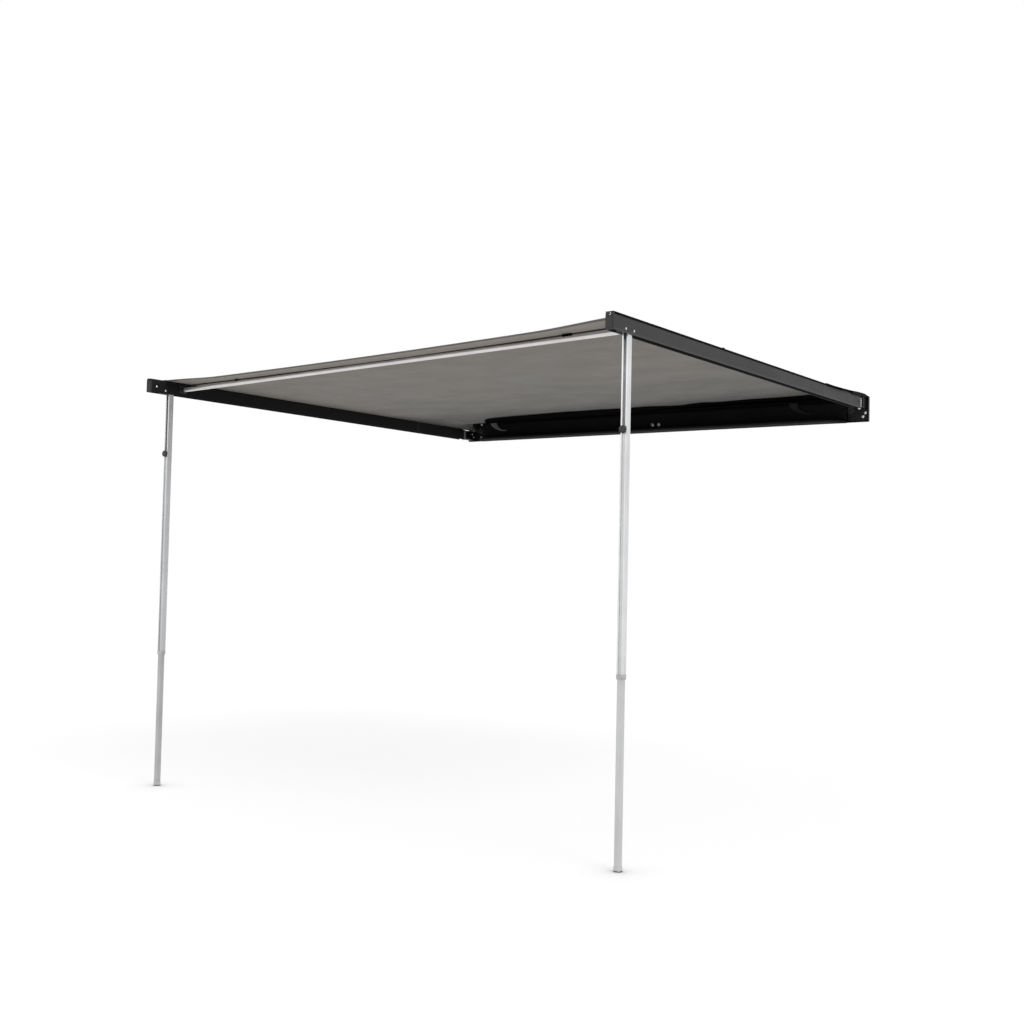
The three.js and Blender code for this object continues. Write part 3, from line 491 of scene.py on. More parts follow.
def add_piece(name: str, shape: Shape, finish: "Finish", body: str = "rail", replaced: Sequence[str] = (),
              crease: float = 32.0, edge: float = 0.0, wall: float = 0.0) -> Piece:
    """Make a piece and give it its finish, its body and the CAD nodes that it stands for.

    Args:
        name: The piece's name.
        shape: Its points and faces.
        finish: Its finish, which also names the record's slot.
        body: The CAD body that it moves with.
        replaced: CAD nodes that it stands for.
        crease: Edges sharper than this many degrees stay sharp.
        edge: Width of the round on its edges, if any.
        wall: Thickness given to an open sheet, if any.

    Returns:
        The piece.
    """
    obj = make_piece(name, shape, crease)
    if wall:
        thicken(obj, wall)
    if edge:
        soften(obj, edge)
    obj.data.materials.clear()
    obj.data.materials.append(finish.material())
    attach(obj, body)
    if replaced:
        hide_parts(*replaced)
    log.info("%s on %s, %d points", obj.name, body, len(obj.data.vertices))
    return obj


def dress_node(node: str, finish: "Finish") -> None:
    """Give a carried-over CAD node its finish.

    Args:
        node: The node's name.
        finish: Its finish.
    """
    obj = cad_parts[node]
    obj.data.materials.clear()
    obj.data.materials.append(finish.material())
    log.info("%s keeps its CAD shape", node)


# Finishes

class Recipe:
    """The node tree of one material or world, filled in step by step."""

    # How far one wave of a wave texture of scale 1 runs, in metres
    wave_length = 0.3142

    def __init__(self, owner: bpy.types.Material | bpy.types.World) -> None:
        """Start from the owner's own nodes.

        Args:
            owner: The material or world.
        """
        self.owner = owner
        owner.use_nodes = True
        self.tree = owner.node_tree

    def own(self, kind: str) -> Node:
        """The first node of one kind that the tree already has."""
        return next(node for node in self.tree.nodes if node.type == kind)

    def node(self, kind: str, inputs: Mapping[str | int, object] | None = None, **values: object) -> Node:
        """Add a node.

        Args:
            kind: The node's type.
            inputs: What goes into its sockets, by name or number.
            **values: Its plain properties.

        Returns:
            The node.
        """
        made = self.tree.nodes.new(kind)
        for key, value in values.items():
            setattr(made, key, value)
        self.fill(made, inputs or {})
        return made

    def shader(self, kind: str, inputs: Mapping[str | int, object]) -> Socket:
        """Add a shader node and return what comes out of it."""
        return self.node(kind, inputs).outputs[0]

    def fill(self, node: Node, inputs: Mapping[str | int, object]) -> None:
        """Link a node's sockets to other ones, or set them to plain values; colours become opaque.

        Args:
            node: The node.
            inputs: What goes into its sockets, by name or number.
        """
        for key, value in inputs.items():
            socket = node.inputs[key]
            if isinstance(value, Socket):
                self.tree.links.new(value, socket)
            else:
                socket.default_value = (*value, 1.0) if socket.type == "RGBA" else value

    def place(self, scale: Sequence[float] = (1.0, 1.0, 1.0)) -> Socket:
        """Object coordinates in metres, stretched by a scale."""
        where = self.node("ShaderNodeTexCoord").outputs["Object"]
        return self.node("ShaderNodeMapping", {"Vector": where, "Scale": scale}).outputs["Vector"]

    def noise(self, where: Socket, scale: float, detail: float = 3.0, rough: float = 0.55) -> Socket:
        """Cloudy noise from 0 to 1, scale features to the metre."""
        inputs = {"Vector": where, "Scale": scale, "Detail": detail, "Roughness": rough}
        return self.node("ShaderNodeTexNoise", inputs).outputs["Fac"]

    def cells(self, where: Socket, scale: float) -> Socket:
        """Distance to the nearest cell centre, for pitted and pebbled surfaces."""
        return self.node("ShaderNodeTexVoronoi", {"Vector": where, "Scale": scale}).outputs["Distance"]

    def threads(self, where: Socket, pitch: float, axis: str) -> Socket:
        """Parallel threads of one pitch along an axis.

        Args:
            where: The coordinates.
            pitch: From thread to thread, in metres.
            axis: X, Y or Z.

        Returns:
            A value from 0 between the threads to 1 on them.
        """
        made = self.node("ShaderNodeTexWave", wave_type="BANDS", bands_direction=axis, wave_profile="SIN")
        self.fill(made, {"Vector": where, "Scale": self.wave_length / pitch, "Distortion": 0.0})
        return made.outputs["Fac"]

    def combine(self, operation: str, first: Socket | float, second: Socket | float) -> Socket:
        """One value combined with another one or with a number."""
        return self.node("ShaderNodeMath", {0: first, 1: second}, operation=operation).outputs[0]

    def blend(self, *parts: tuple[Socket, float]) -> Socket:
        """The sum of some values, each times its share."""
        scaled = [value if share == 1 else self.combine("MULTIPLY", value, share) for value, share in parts]
        return reduce(lambda total, value: self.combine("ADD", total, value), scaled)

    def off_line(self, axis: int, line: float) -> Socket:
        """Distance from a line across one axis, in the piece's own coordinates."""
        parts = self.node("ShaderNodeSeparateXYZ", {0: self.place()})
        return self.combine("ABSOLUTE", self.combine("SUBTRACT", parts.outputs[axis], line), 0.0)

    def spread(self, value: Socket, low: float, high: float, start: float = 0.3, end: float = 0.7) -> Socket:
        """Map start to end onto low to high."""
        inputs = {"Value": value, "From Min": start, "From Max": end, "To Min": low, "To Max": high}
        return self.node("ShaderNodeMapRange", inputs).outputs["Result"]

    def ramp(self, value: Socket, *stops: tuple[float, Colour]) -> Socket:
        """A colour between two stops along a value.

        Args:
            value: The value.
            *stops: Two pairs of a value and a colour.

        Returns:
            The colour.
        """
        made = self.node("ShaderNodeValToRGB", {"Fac": value})
        for element, (at, colour) in zip(made.color_ramp.elements, stops):
            element.position = at
            element.color = (*colour, 1.0)
        return made.outputs["Color"]

    def tint(self, factor: Socket, first: Socket, second: Colour) -> Socket:
        """Blend a colour towards a second one by a factor."""
        inputs = {"Factor": factor, 6: first, 7: second}
        return self.node("ShaderNodeMix", inputs, data_type="RGBA").outputs[2]

    def seen_rays(self) -> Socket:
        """1 where a ray comes from the camera, straight or by a mirror or glass, and 0 elsewhere.

        Returns:
            The value.
        """
        path = self.node("ShaderNodeLightPath").outputs
        direct = self.combine("MAXIMUM", path["Is Camera Ray"], path["Is Glossy Ray"])
        return self.combine("MAXIMUM", direct, path["Is Transmission Ray"])

    def finish(self, colour: Socket, roughness: Socket, layers: Sequence[tuple[Socket, float, float]],
               **plain: float) -> bpy.types.Material:
        """Fill in the principled shader.

        Args:
            colour: The base colour.
            roughness: The roughness over the surface.
            layers: Bumps from the lowest up, each of a height, a strength and a depth in metres.
            **plain: Other sockets of the shader, with underscores for spaces.

        Returns:
            The material.
        """
        inputs = {"Base Color": colour, "Roughness": roughness}
        inputs |= {key.replace("_", " "): value for key, value in plain.items()}
        below: dict[str, Socket] = {}
        for height, strength, depth in layers:
            bump = {"Height": height, "Strength": strength, "Distance": depth}
            below = {"Normal": self.node("ShaderNodeBump", bump | below).outputs["Normal"]}
        self.fill(self.own("BSDF_PRINCIPLED"), inputs | below)
        return self.owner


MADE: dict[str, bpy.types.Material] = {}


@dataclass(frozen=True)
class Finish:
    """A named finish of one of the record's slots."""

    name: str
    slot: str
    tone: Colour

    def material(self) -> bpy.types.Material:
        """The finish's material, made once.

        Returns:
            The material.
        """
        if self.name not in MADE:
            MADE[self.name] = self.mix(Recipe(bpy.data.materials.new(self.name)))
        return MADE[self.name]

    def mix(self, recipe: Recipe) -> bpy.types.Material:
        """Fill in the recipe; each kind of finish does it its own way."""
        raise NotImplementedError

    def shade(self, factor: float) -> Colour:
        """The tone, lighter or darker by a factor."""
        return tuple(min(1.0, c * factor) for c in self.tone)


@dataclass(frozen=True)
class PowderCoat(Finish):
    """Baked powder paint: a fine even grain, faint clouding and a little dust."""

    gloss: float = 0.5
    grain: float = 1600.0
    shine: float = 0.45
    # The arm whose channel gets a painted highlight along its edges and painted shade inside, if any
    channel: Side | None = None

    def mix(self, recipe: Recipe) -> bpy.types.Material:
        """Clouded paint with a fine peel and pale, dusty patches; a channel gets a painted highlight along
        its edges and painted shade inside.

        Args:
            recipe: An empty recipe.

        Returns:
            The material.
        """
        where = recipe.place()
        clouds = recipe.noise(where, 5.0, 4.0)
        peel = recipe.noise(where, self.grain, 2.0)
        dust = recipe.spread(recipe.noise(where, 42.0, 6.0, 0.7), 0.0, 0.3, 0.56, 0.75)
        colour = recipe.ramp(clouds, (0.3, self.shade(0.84)), (0.7, self.shade(1.12)))
        colour = recipe.tint(dust, colour, self.shade(1.55))
        # Painted highlight and painted shade on an arm's channel
        if self.channel:
            colour = self.paint_channel_light(recipe, colour, clouds)
        rough = recipe.spread(recipe.blend((clouds, 1), (peel, 0.4)), self.gloss - 0.07, self.gloss + 0.12,
                              0.4, 1.0)
        layers = [(peel, 0.22, 0.0002), (clouds, 0.05, 0.001)]
        return recipe.finish(colour, rough, layers, Metallic=0.0, Specular_IOR_Level=self.shine)

    def paint_channel_light(self, recipe: Recipe, colour: Socket, clouds: Socket) -> Socket:
        """Paint a highlight along a channel's edges, and paint shade inside it.

        Args:
            recipe: The recipe.
            colour: The paint's colour.
            clouds: Its clouding.

        Returns:
            The changed colour.
        """
        half = SIZES.arm_height / 2
        height = recipe.off_line(2, SIZES.arm_z(self.channel))
        # Painted highlight: a pale band along the channel's top and bottom edges
        edge = recipe.spread(height, 0.0, 0.6, half - 0.0105, half - 0.004)
        colour = recipe.tint(recipe.combine("MULTIPLY", edge, clouds), colour, self.shade(3.6))
        wall = SIZES.arm_width / 2 - SIZES.arm_wall
        # Painted shade: the channel's inside is darkened to near black
        middle = self.channel.value * SIZES.axis_x
        inside = recipe.combine("LESS_THAN", recipe.off_line(0, middle), wall + GAP)
        return recipe.tint(inside, colour, self.shade(0.06))


@dataclass(frozen=True)
class DrawnAluminium(Finish):
    """Satin anodised aluminium with die lines along its length."""

    along: Run = Run.Z
    metal: float = 0.75

    def mix(self, recipe: Recipe) -> bpy.types.Material:
        """Long die lines and soft handling marks in a satin metal.

        Args:
            recipe: An empty recipe.

        Returns:
            The material.
        """
        scale = self.along.place(900.0, 900.0, 3.0)
        lines = recipe.noise(recipe.place(scale), 1.0, 3.0, 0.6)
        where = recipe.place()
        clouds = recipe.noise(where, 7.0, 4.0)
        marks = recipe.spread(recipe.noise(where, 60.0, 7.0, 0.75), 0.0, 0.35, 0.6, 0.78)
        streaks = recipe.blend((lines, 0.5), (clouds, 0.5))
        colour = recipe.ramp(streaks, (0.35, self.shade(0.86)), (0.65, self.shade(1.1)))
        colour = recipe.tint(marks, colour, self.shade(0.72))
        rough = recipe.spread(recipe.blend((lines, 0.6), (clouds, 0.4)), 0.3, 0.46)
        layers = [(lines, 0.12, 0.0003), (clouds, 0.04, 0.001)]
        return recipe.finish(colour, rough, layers, Metallic=self.metal)


@dataclass(frozen=True)
class PlatedSteel(Finish):
    """Zinc plate or blacking on small steel parts."""

    gloss: float = 0.28

    def mix(self, recipe: Recipe) -> bpy.types.Material:
        """Spangled, lightly scratched plating.

        Args:
            recipe: An empty recipe.

        Returns:
            The material.
        """
        where = recipe.place()
        spangle = recipe.cells(where, 420.0)
        scratches = recipe.noise(recipe.place((1400.0, 90.0, 300.0)), 1.0, 4.0, 0.7)
        clouds = recipe.noise(where, 120.0, 4.0)
        colour = recipe.ramp(clouds, (0.3, self.shade(0.8)), (0.7, self.shade(1.12)))
        colour = recipe.tint(recipe.spread(scratches, 0.0, 0.3, 0.55, 0.8), colour, self.shade(0.6))
        rough = recipe.spread(recipe.blend((clouds, 1), (spangle, 0.3)), self.gloss - 0.08, self.gloss + 0.14)
        layers = [(spangle, 0.06, 0.0002), (scratches, 0.12, 0.0002)]
        return recipe.finish(colour, rough, layers, Metallic=0.95)


@dataclass(frozen=True)
class MouldedPlastic(Finish):
    """Spark-textured moulded plastic or rubber."""

    gloss: float = 0.5
    pebble: float = 1500.0
    depth: float = 0.25

    def mix(self, recipe: Recipe) -> bpy.types.Material:
        """Pebbled plastic, paler where it is rubbed.

        Args:
            recipe: An empty recipe.

        Returns:
            The material.
        """
        where = recipe.place()
        pebbles = recipe.cells(where, self.pebble)
        flow = recipe.noise(where, 28.0, 5.0)
        rubbed = recipe.spread(recipe.noise(where, 140.0, 6.0, 0.7), 0.0, 0.5, 0.55, 0.8)
        colour = recipe.ramp(flow, (0.3, self.shade(0.8)), (0.72, self.shade(1.25)))
        colour = recipe.tint(rubbed, colour, self.shade(2.0))
        rough = recipe.spread(recipe.blend((flow, 1), (pebbles, 0.4)), self.gloss - 0.1, self.gloss + 0.14,
                              0.4, 1.0)
        layers = [(pebbles, self.depth, 0.00025), (flow, 0.06, 0.001)]
        return recipe.finish(colour, rough, layers, Specular_IOR_Level=0.5)


@dataclass(frozen=True)
class CoatedCloth(Finish):
    """Woven cloth with a coated face: a fine square weave, clouding and soft creases."""

    pitch: float = 0.0012
    gloss: float = 0.7
    crease: float = 0.3
    cloud_tone: Colour = (0.18, 0.18, 0.17)
    # Tone of the painted shade towards the rail, if any
    aged: Colour | None = None
    sheen: float = 0.15
    shine: float = 0.35

    def mix(self, recipe: Recipe) -> bpy.types.Material:
        """Weave, faint creases and clouding at three scales.

        Args:
            recipe: An empty recipe.

        Returns:
            The material.
        """
        where = recipe.place()
        weave = recipe.blend(*((recipe.threads(where, self.pitch, axis), 1) for axis in "XYZ"))
        slow = recipe.noise(recipe.place((1.0, 0.8, 1.0)), 0.9, 3.0)
        clouds = recipe.noise(recipe.place((1.0, 1.4, 1.0)), 4.5, 6.0, 0.62)
        creases = recipe.noise(recipe.place((1.0, 2.6, 1.0)), 9.0, 7.0, 0.66)
        colour = recipe.ramp(slow, (0.35, self.tone), (0.65, self.cloud_tone))
        colour = recipe.tint(recipe.spread(clouds, 0.0, 0.42, 0.38, 0.75), colour, self.shade(0.72))
        colour = recipe.tint(recipe.blend((weave, 0.03)), colour, self.shade(1.25))
        if self.aged:
            colour = self.aged_cloth(recipe, colour, clouds)
        rough = recipe.spread(recipe.blend((clouds, 1), (weave, 0.2)), self.gloss - 0.1, self.gloss + 0.12,
                              0.4, 1.2)
        layers = [(weave, 0.1, 0.0002), (creases, self.crease, 0.006)]
        return recipe.finish(colour, rough, layers, Sheen_Weight=self.sheen, Sheen_Roughness=0.5,
                             Specular_IOR_Level=self.shine)

    def aged_cloth(self, recipe: Recipe, colour: Socket, clouds: Socket) -> Socket:
        """Paint shade on the cloth towards the rail, most of all at its left end, and paint light on its
        front hem.

        Args:
            recipe: The recipe.
            colour: The cloth's colour.
            clouds: Its clouding.

        Returns:
            The changed colour.
        """
        out = recipe.off_line(1, 0.0)
        # Painted shade: darker towards the rail, and more so at the left end
        corner = recipe.blend((out, 1), (recipe.off_line(0, -1.3), 0.154))
        rear = recipe.blend((recipe.spread(out, 0.5, 0.0, 0.35, 1.5), 1),
                            (recipe.spread(corner, 0.44, 0.0, 0.654, 0.914), 1))
        rear = recipe.combine("MULTIPLY", rear, recipe.spread(clouds, 0.88, 1.1))
        colour = recipe.tint(rear, colour, self.aged)
        # Painted light: the front hem is paler
        return recipe.tint(recipe.spread(out, 0.0, 0.9, 2.19, 2.29), colour, self.shade(1.5))


@dataclass(frozen=True)
class Webbing(Finish):
    """Woven tape, binding and thread, with ribs across it."""

    rib: float = 0.0016
    sheen: float = 0.05
    shine: float = 0.15

    def mix(self, recipe: Recipe) -> bpy.types.Material:
        """Ribbed tape with fluffed, uneven yarn.

        Args:
            recipe: An empty recipe.

        Returns:
            The material.
        """
        where = recipe.place()
        ribs = recipe.blend(*((recipe.threads(where, self.rib, axis), 1) for axis in "XY"))
        fluff = recipe.noise(where, 700.0, 3.0)
        wear = recipe.noise(where, 24.0, 5.0)
        yarn = recipe.blend((fluff, 0.5), (wear, 0.5))
        colour = recipe.ramp(yarn, (0.3, self.shade(0.7)), (0.7, self.shade(1.4)))
        layers = [(ribs, 0.35, 0.0003), (fluff, 0.2, 0.0002)]
        return recipe.finish(colour, recipe.spread(fluff, 0.62, 0.86), layers, Sheen_Weight=self.sheen,
                             Sheen_Roughness=0.6, Specular_IOR_Level=self.shine)


RAIL_COAT = PowderCoat("rail_powder_coat", "rail_coat", (0.0045, 0.0045, 0.0048), gloss=0.6, shine=0.12)
# The darker left arm coat and cap coat are shaded copies of the right ones: painted shade
ARM_COAT = {
    Side.RIGHT: PowderCoat("arm_powder_coat", "arm_coat", (0.0215, 0.0215, 0.0222), gloss=0.58,
                           channel=Side.RIGHT),
    Side.LEFT: PowderCoat("left_arm_powder_coat", "arm_coat", (0.003, 0.003, 0.0034), gloss=0.7, shine=0.22,
                          channel=Side.LEFT)}
CAP_COAT = {
    Side.RIGHT: PowderCoat("arm_cap_coat", "arm_coat", (0.023, 0.023, 0.024), gloss=0.58),
    Side.LEFT: PowderCoat("left_arm_cap_painted_shade", "arm_coat", (0.008, 0.008, 0.009), gloss=0.66)}
ARM_SEAM = PowderCoat("arm_seam_line", "arm_coat", (0.12, 0.115, 0.105), gloss=0.5)
# The darker left leg metals are shaded copies of the right ones: painted shade
LEG_METAL = {
    Side.RIGHT: DrawnAluminium("right_leg_aluminium", "leg_aluminium", (0.75, 0.755, 0.765), metal=0.5),
    Side.LEFT: DrawnAluminium("left_leg_aluminium", "leg_aluminium", (0.58, 0.585, 0.6), metal=0.5)}
INNER_METAL = {
    Side.RIGHT: DrawnAluminium("right_inner_aluminium", "leg_aluminium", (0.62, 0.625, 0.625), metal=0.4),
    Side.LEFT: DrawnAluminium("left_inner_aluminium", "leg_aluminium", (0.47, 0.475, 0.475), metal=0.4)}
TUBE_METAL = DrawnAluminium("spreader_aluminium", "leg_aluminium", (0.74, 0.73, 0.72), along=Run.X)
ZINC = PlatedSteel("zinc_plate", "zinc_fittings", (0.84, 0.85, 0.86))
# The darker left rings are a shaded copy of the right ones: painted shade
RINGED = {
    Side.RIGHT: PlatedSteel("machined_rings", "zinc_fittings", (0.68, 0.68, 0.69), gloss=0.3),
    Side.LEFT: PlatedSteel("left_machined_rings", "zinc_fittings", (0.3, 0.3, 0.305), gloss=0.4)}
COATED_SCREW = PlatedSteel("coated_screw", "zinc_fittings", (0.05, 0.05, 0.052), gloss=0.45)
SADDLE = PlatedSteel("saddle_plate", "saddle_steel", (0.42, 0.43, 0.44), gloss=0.38)
BLACKED = PlatedSteel("blacked_steel", "black_steel", (0.035, 0.036, 0.038), gloss=0.4)
PLASTIC = MouldedPlastic("black_plastic", "black_plastic", (0.018, 0.018, 0.019))
COLLAR_PLASTIC = MouldedPlastic("collar_plastic", "black_plastic", (0.5, 0.5, 0.505), depth=0.08)
KNOB = MouldedPlastic("knob_plastic", "knob_plastic", (0.014, 0.014, 0.0143), gloss=0.42, pebble=900.0)
RUBBER = MouldedPlastic("foot_rubber", "rubber", (0.57, 0.57, 0.575), gloss=0.7, pebble=600.0)
# The sole's dark tone is a painted contact shadow at the foot's base
SOLE_SHADOW = MouldedPlastic("sole_painted_shadow", "rubber", (0.09, 0.09, 0.091), gloss=0.8, pebble=600.0)
BUFFER_RUBBER = MouldedPlastic("buffer_rubber", "rubber", (0.02, 0.02, 0.02), gloss=0.7, pebble=600.0)
# The canopy cloth's rear shade tone is painted shade towards the rail
CANOPY_CLOTH = CoatedCloth("canopy_cloth", "canopy_cloth", (0.242, 0.22, 0.197), crease=0.65,
                           cloud_tone=(0.219, 0.215, 0.198), aged=(0.05, 0.049, 0.048), sheen=0.05,
                           shine=0.15)
GUSSET_CLOTH = CoatedCloth("gusset_cloth", "canopy_cloth", (0.3, 0.296, 0.285),
                           cloud_tone=(0.27, 0.272, 0.26))
BAG_CLOTH = CoatedCloth("bag_cloth", "bag_cloth", (0.011, 0.011, 0.0115), pitch=0.0016, gloss=0.82,
                        crease=0.5, cloud_tone=(0.021, 0.021, 0.0215), sheen=0.0, shine=0.06)
# The rear strip's cloth is a darker copy of the bag's cloth: painted shade
STRIP_SHADE_CLOTH = CoatedCloth("rear_strip_painted_shade", "bag_cloth", (0.003, 0.003, 0.0031), pitch=0.0016, gloss=0.9,
                          crease=0.4, cloud_tone=(0.0046, 0.0046, 0.0048), sheen=0.0, shine=0.0)
# The fold crescents' pale tones are painted sheen on black cloth
FOLD_SHEEN = {
    Side.LEFT: CoatedCloth("bag_lining", "bag_cloth", (0.2, 0.196, 0.205), pitch=0.0016, gloss=0.7,
                           crease=0.2, cloud_tone=(0.28, 0.275, 0.285), sheen=0.1, shine=0.25),
    Side.RIGHT: CoatedCloth("bag_lining_dark", "bag_cloth", (0.03, 0.03, 0.031), pitch=0.0016, gloss=0.75,
                            crease=0.2, cloud_tone=(0.038, 0.038, 0.04), sheen=0.0, shine=0.1)}
TAPE = Webbing("black_tape", "bag_cloth", (0.004, 0.004, 0.0045), sheen=0.0, shine=0.03)
# The tube seam's dark tone is painted shade
SEAM_SHADE_TAPE = Webbing("seam_painted_shade", "canopy_cloth", (0.055, 0.05, 0.044))
CANOPY_TAPE = Webbing("canopy_tape", "canopy_cloth", (0.15, 0.145, 0.138))
THREAD = Webbing("stitching", "canopy_cloth", (0.1, 0.098, 0.092), rib=0.0005)


# Small fittings

@dataclass(frozen=True)
class DomedBolt:
    """A domed socket bolt on a washer."""

    radius: float = 0.007
    height: float = 0.004
    washer: float = 0.009
    washer_height: float = 0.0012
    washer_edge: float = 0.0003
    socket: float = 0.0026

    def shape(self, seat: Sequence[float], axis: Sequence[float]) -> Shape:
        """The washer and the head with its socket.

        Args:
            seat: The point under the washer.
            axis: The way the head faces.

        Returns:
            The closed shape.
        """
        wide, low, edge, r = self.washer, self.washer_height, self.washer_edge, self.radius
        h = self.height - low
        disc = turning([(0, 0), (wide, 0), (wide, low - edge), (wide - edge, low), (0, low)], 32, seat, axis)
        dome = crown(r, low, h, [TURN / 4 * k / 6 for k in range(1, 5)])
        pit = [(self.socket, low + h), (self.socket, low + h * 0.35), (0, low + h * 0.3)]
        profile = [(0, low / 2), (r, low / 2)] + dome + pit
        return disc.add(turning(profile, 30, seat, axis))


@dataclass(frozen=True)
class BlindRivet:
    """A blind rivet's domed head with the mandrel's pit."""

    radius: float = 0.0044
    height: float = 0.002

    def shape(self, seat: Sequence[float], axis: Sequence[float]) -> Shape:
        """The head, turned about the rivet's axis.

        Args:
            seat: The point under the head.
            axis: The way the head faces.

        Returns:
            The closed shape.
        """
        r, h = self.radius, self.height
        pit = [(r * 0.34, h), (r * 0.3, h * 0.55), (0, h * 0.5)]
        profile = [(0, -GAP), (r, -GAP)] + crown(r, 0, h, (0.35, 0.7, 1.0)) + pit
        return turning(profile, 24, seat, axis)


# Sub-assemblies

@dataclass
class Rail:
    """The back rail with its end caps and the two bolts near its middle."""

    cap_thickness: float = 0.003
    cap_corner: float = 0.003
    panel_inset: Flat = (0.004, 0.008)
    panel_rise: float = 0.0006
    bolt_x: Flat = (0.037, 0.076)
    bolt_z: float = -0.023
    sleeve: float = 0.020
    sleeve_radius: float = 0.0052

    def build(self) -> None:
        """Dress the rail and make its caps and bolts."""
        dress_node("back_rail", RAIL_COAT)
        dress_node("canopy_bead_rod", PLASTIC)
        for side in Side:
            self.end_cap(side)
        for word, x in zip(("left", "right"), self.bolt_x):
            self.bolt(word, x)

    def bolt(self, word: str, x: float) -> None:
        """Make one bolt: a washer on the rail, a sleeve, and the head on the sleeve's end.

        Args:
            word: Which of the two it is.
            x: Its place along the rail.
        """
        back, front = -SIZES.rail_wall - 0.002, -SIZES.rail_wall - self.sleeve
        shape = DomedBolt().shape((x, -SIZES.rail_wall, self.bolt_z), OUTWARD)
        shape.add(bar([ring(self.sleeve_radius, 28, (x, self.bolt_z))], back, front, Run.Y))
        shape.add(DomedBolt(0.0075, 0.0045, 0.0095).shape((x, front, self.bolt_z), OUTWARD))
        add_piece(f"bright_rail_bolt_{word}", shape, ZINC, "rail", [f"rail_bolt_{word}"])

    def end_cap(self, side: Side) -> None:
        """Make the moulded cap on one end of the rail, with a raised panel on its face.

        Args:
            side: The rail's end.
        """
        s, half, depth = side.value, SIZES.rail_top, SIZES.rail_depth
        inner = s * (SIZES.rail_length / 2 + GAP)
        outer = inner + s * self.cap_thickness
        cap = bar([oblong(-depth, 0, -half, half, self.cap_corner)], inner, outer, Run.X)
        u, v = self.panel_inset
        panel = oblong(-depth + u, -u, -half + v, half - v, self.cap_corner)
        cap.add(bar([panel], outer - s * 0.0002, outer + s * self.panel_rise, Run.X))
        add_piece(f"rail_cap_{side.word}", cap, PLASTIC, "rail", [f"rail_end_cap_{side.word}"], edge=0.0008)


@dataclass
class Sided:
    """A sub-assembly that the awning has on each side."""

    side: Side

    @property
    def word(self) -> str:
        """The side's name in piece and node names."""
        return self.side.word

    @property
    def x(self) -> float:
        """The hinge axis, arm and leg along the vehicle."""
        return self.side.value * SIZES.axis_x

    @property
    def out(self) -> float:
        """Distance of the hinge axis from the mounting face."""
        return SIZES.hinge_out(self.side)

    @property
    def z(self) -> float:
        """Height of the arm's centre line."""
        return SIZES.arm_z(self.side)


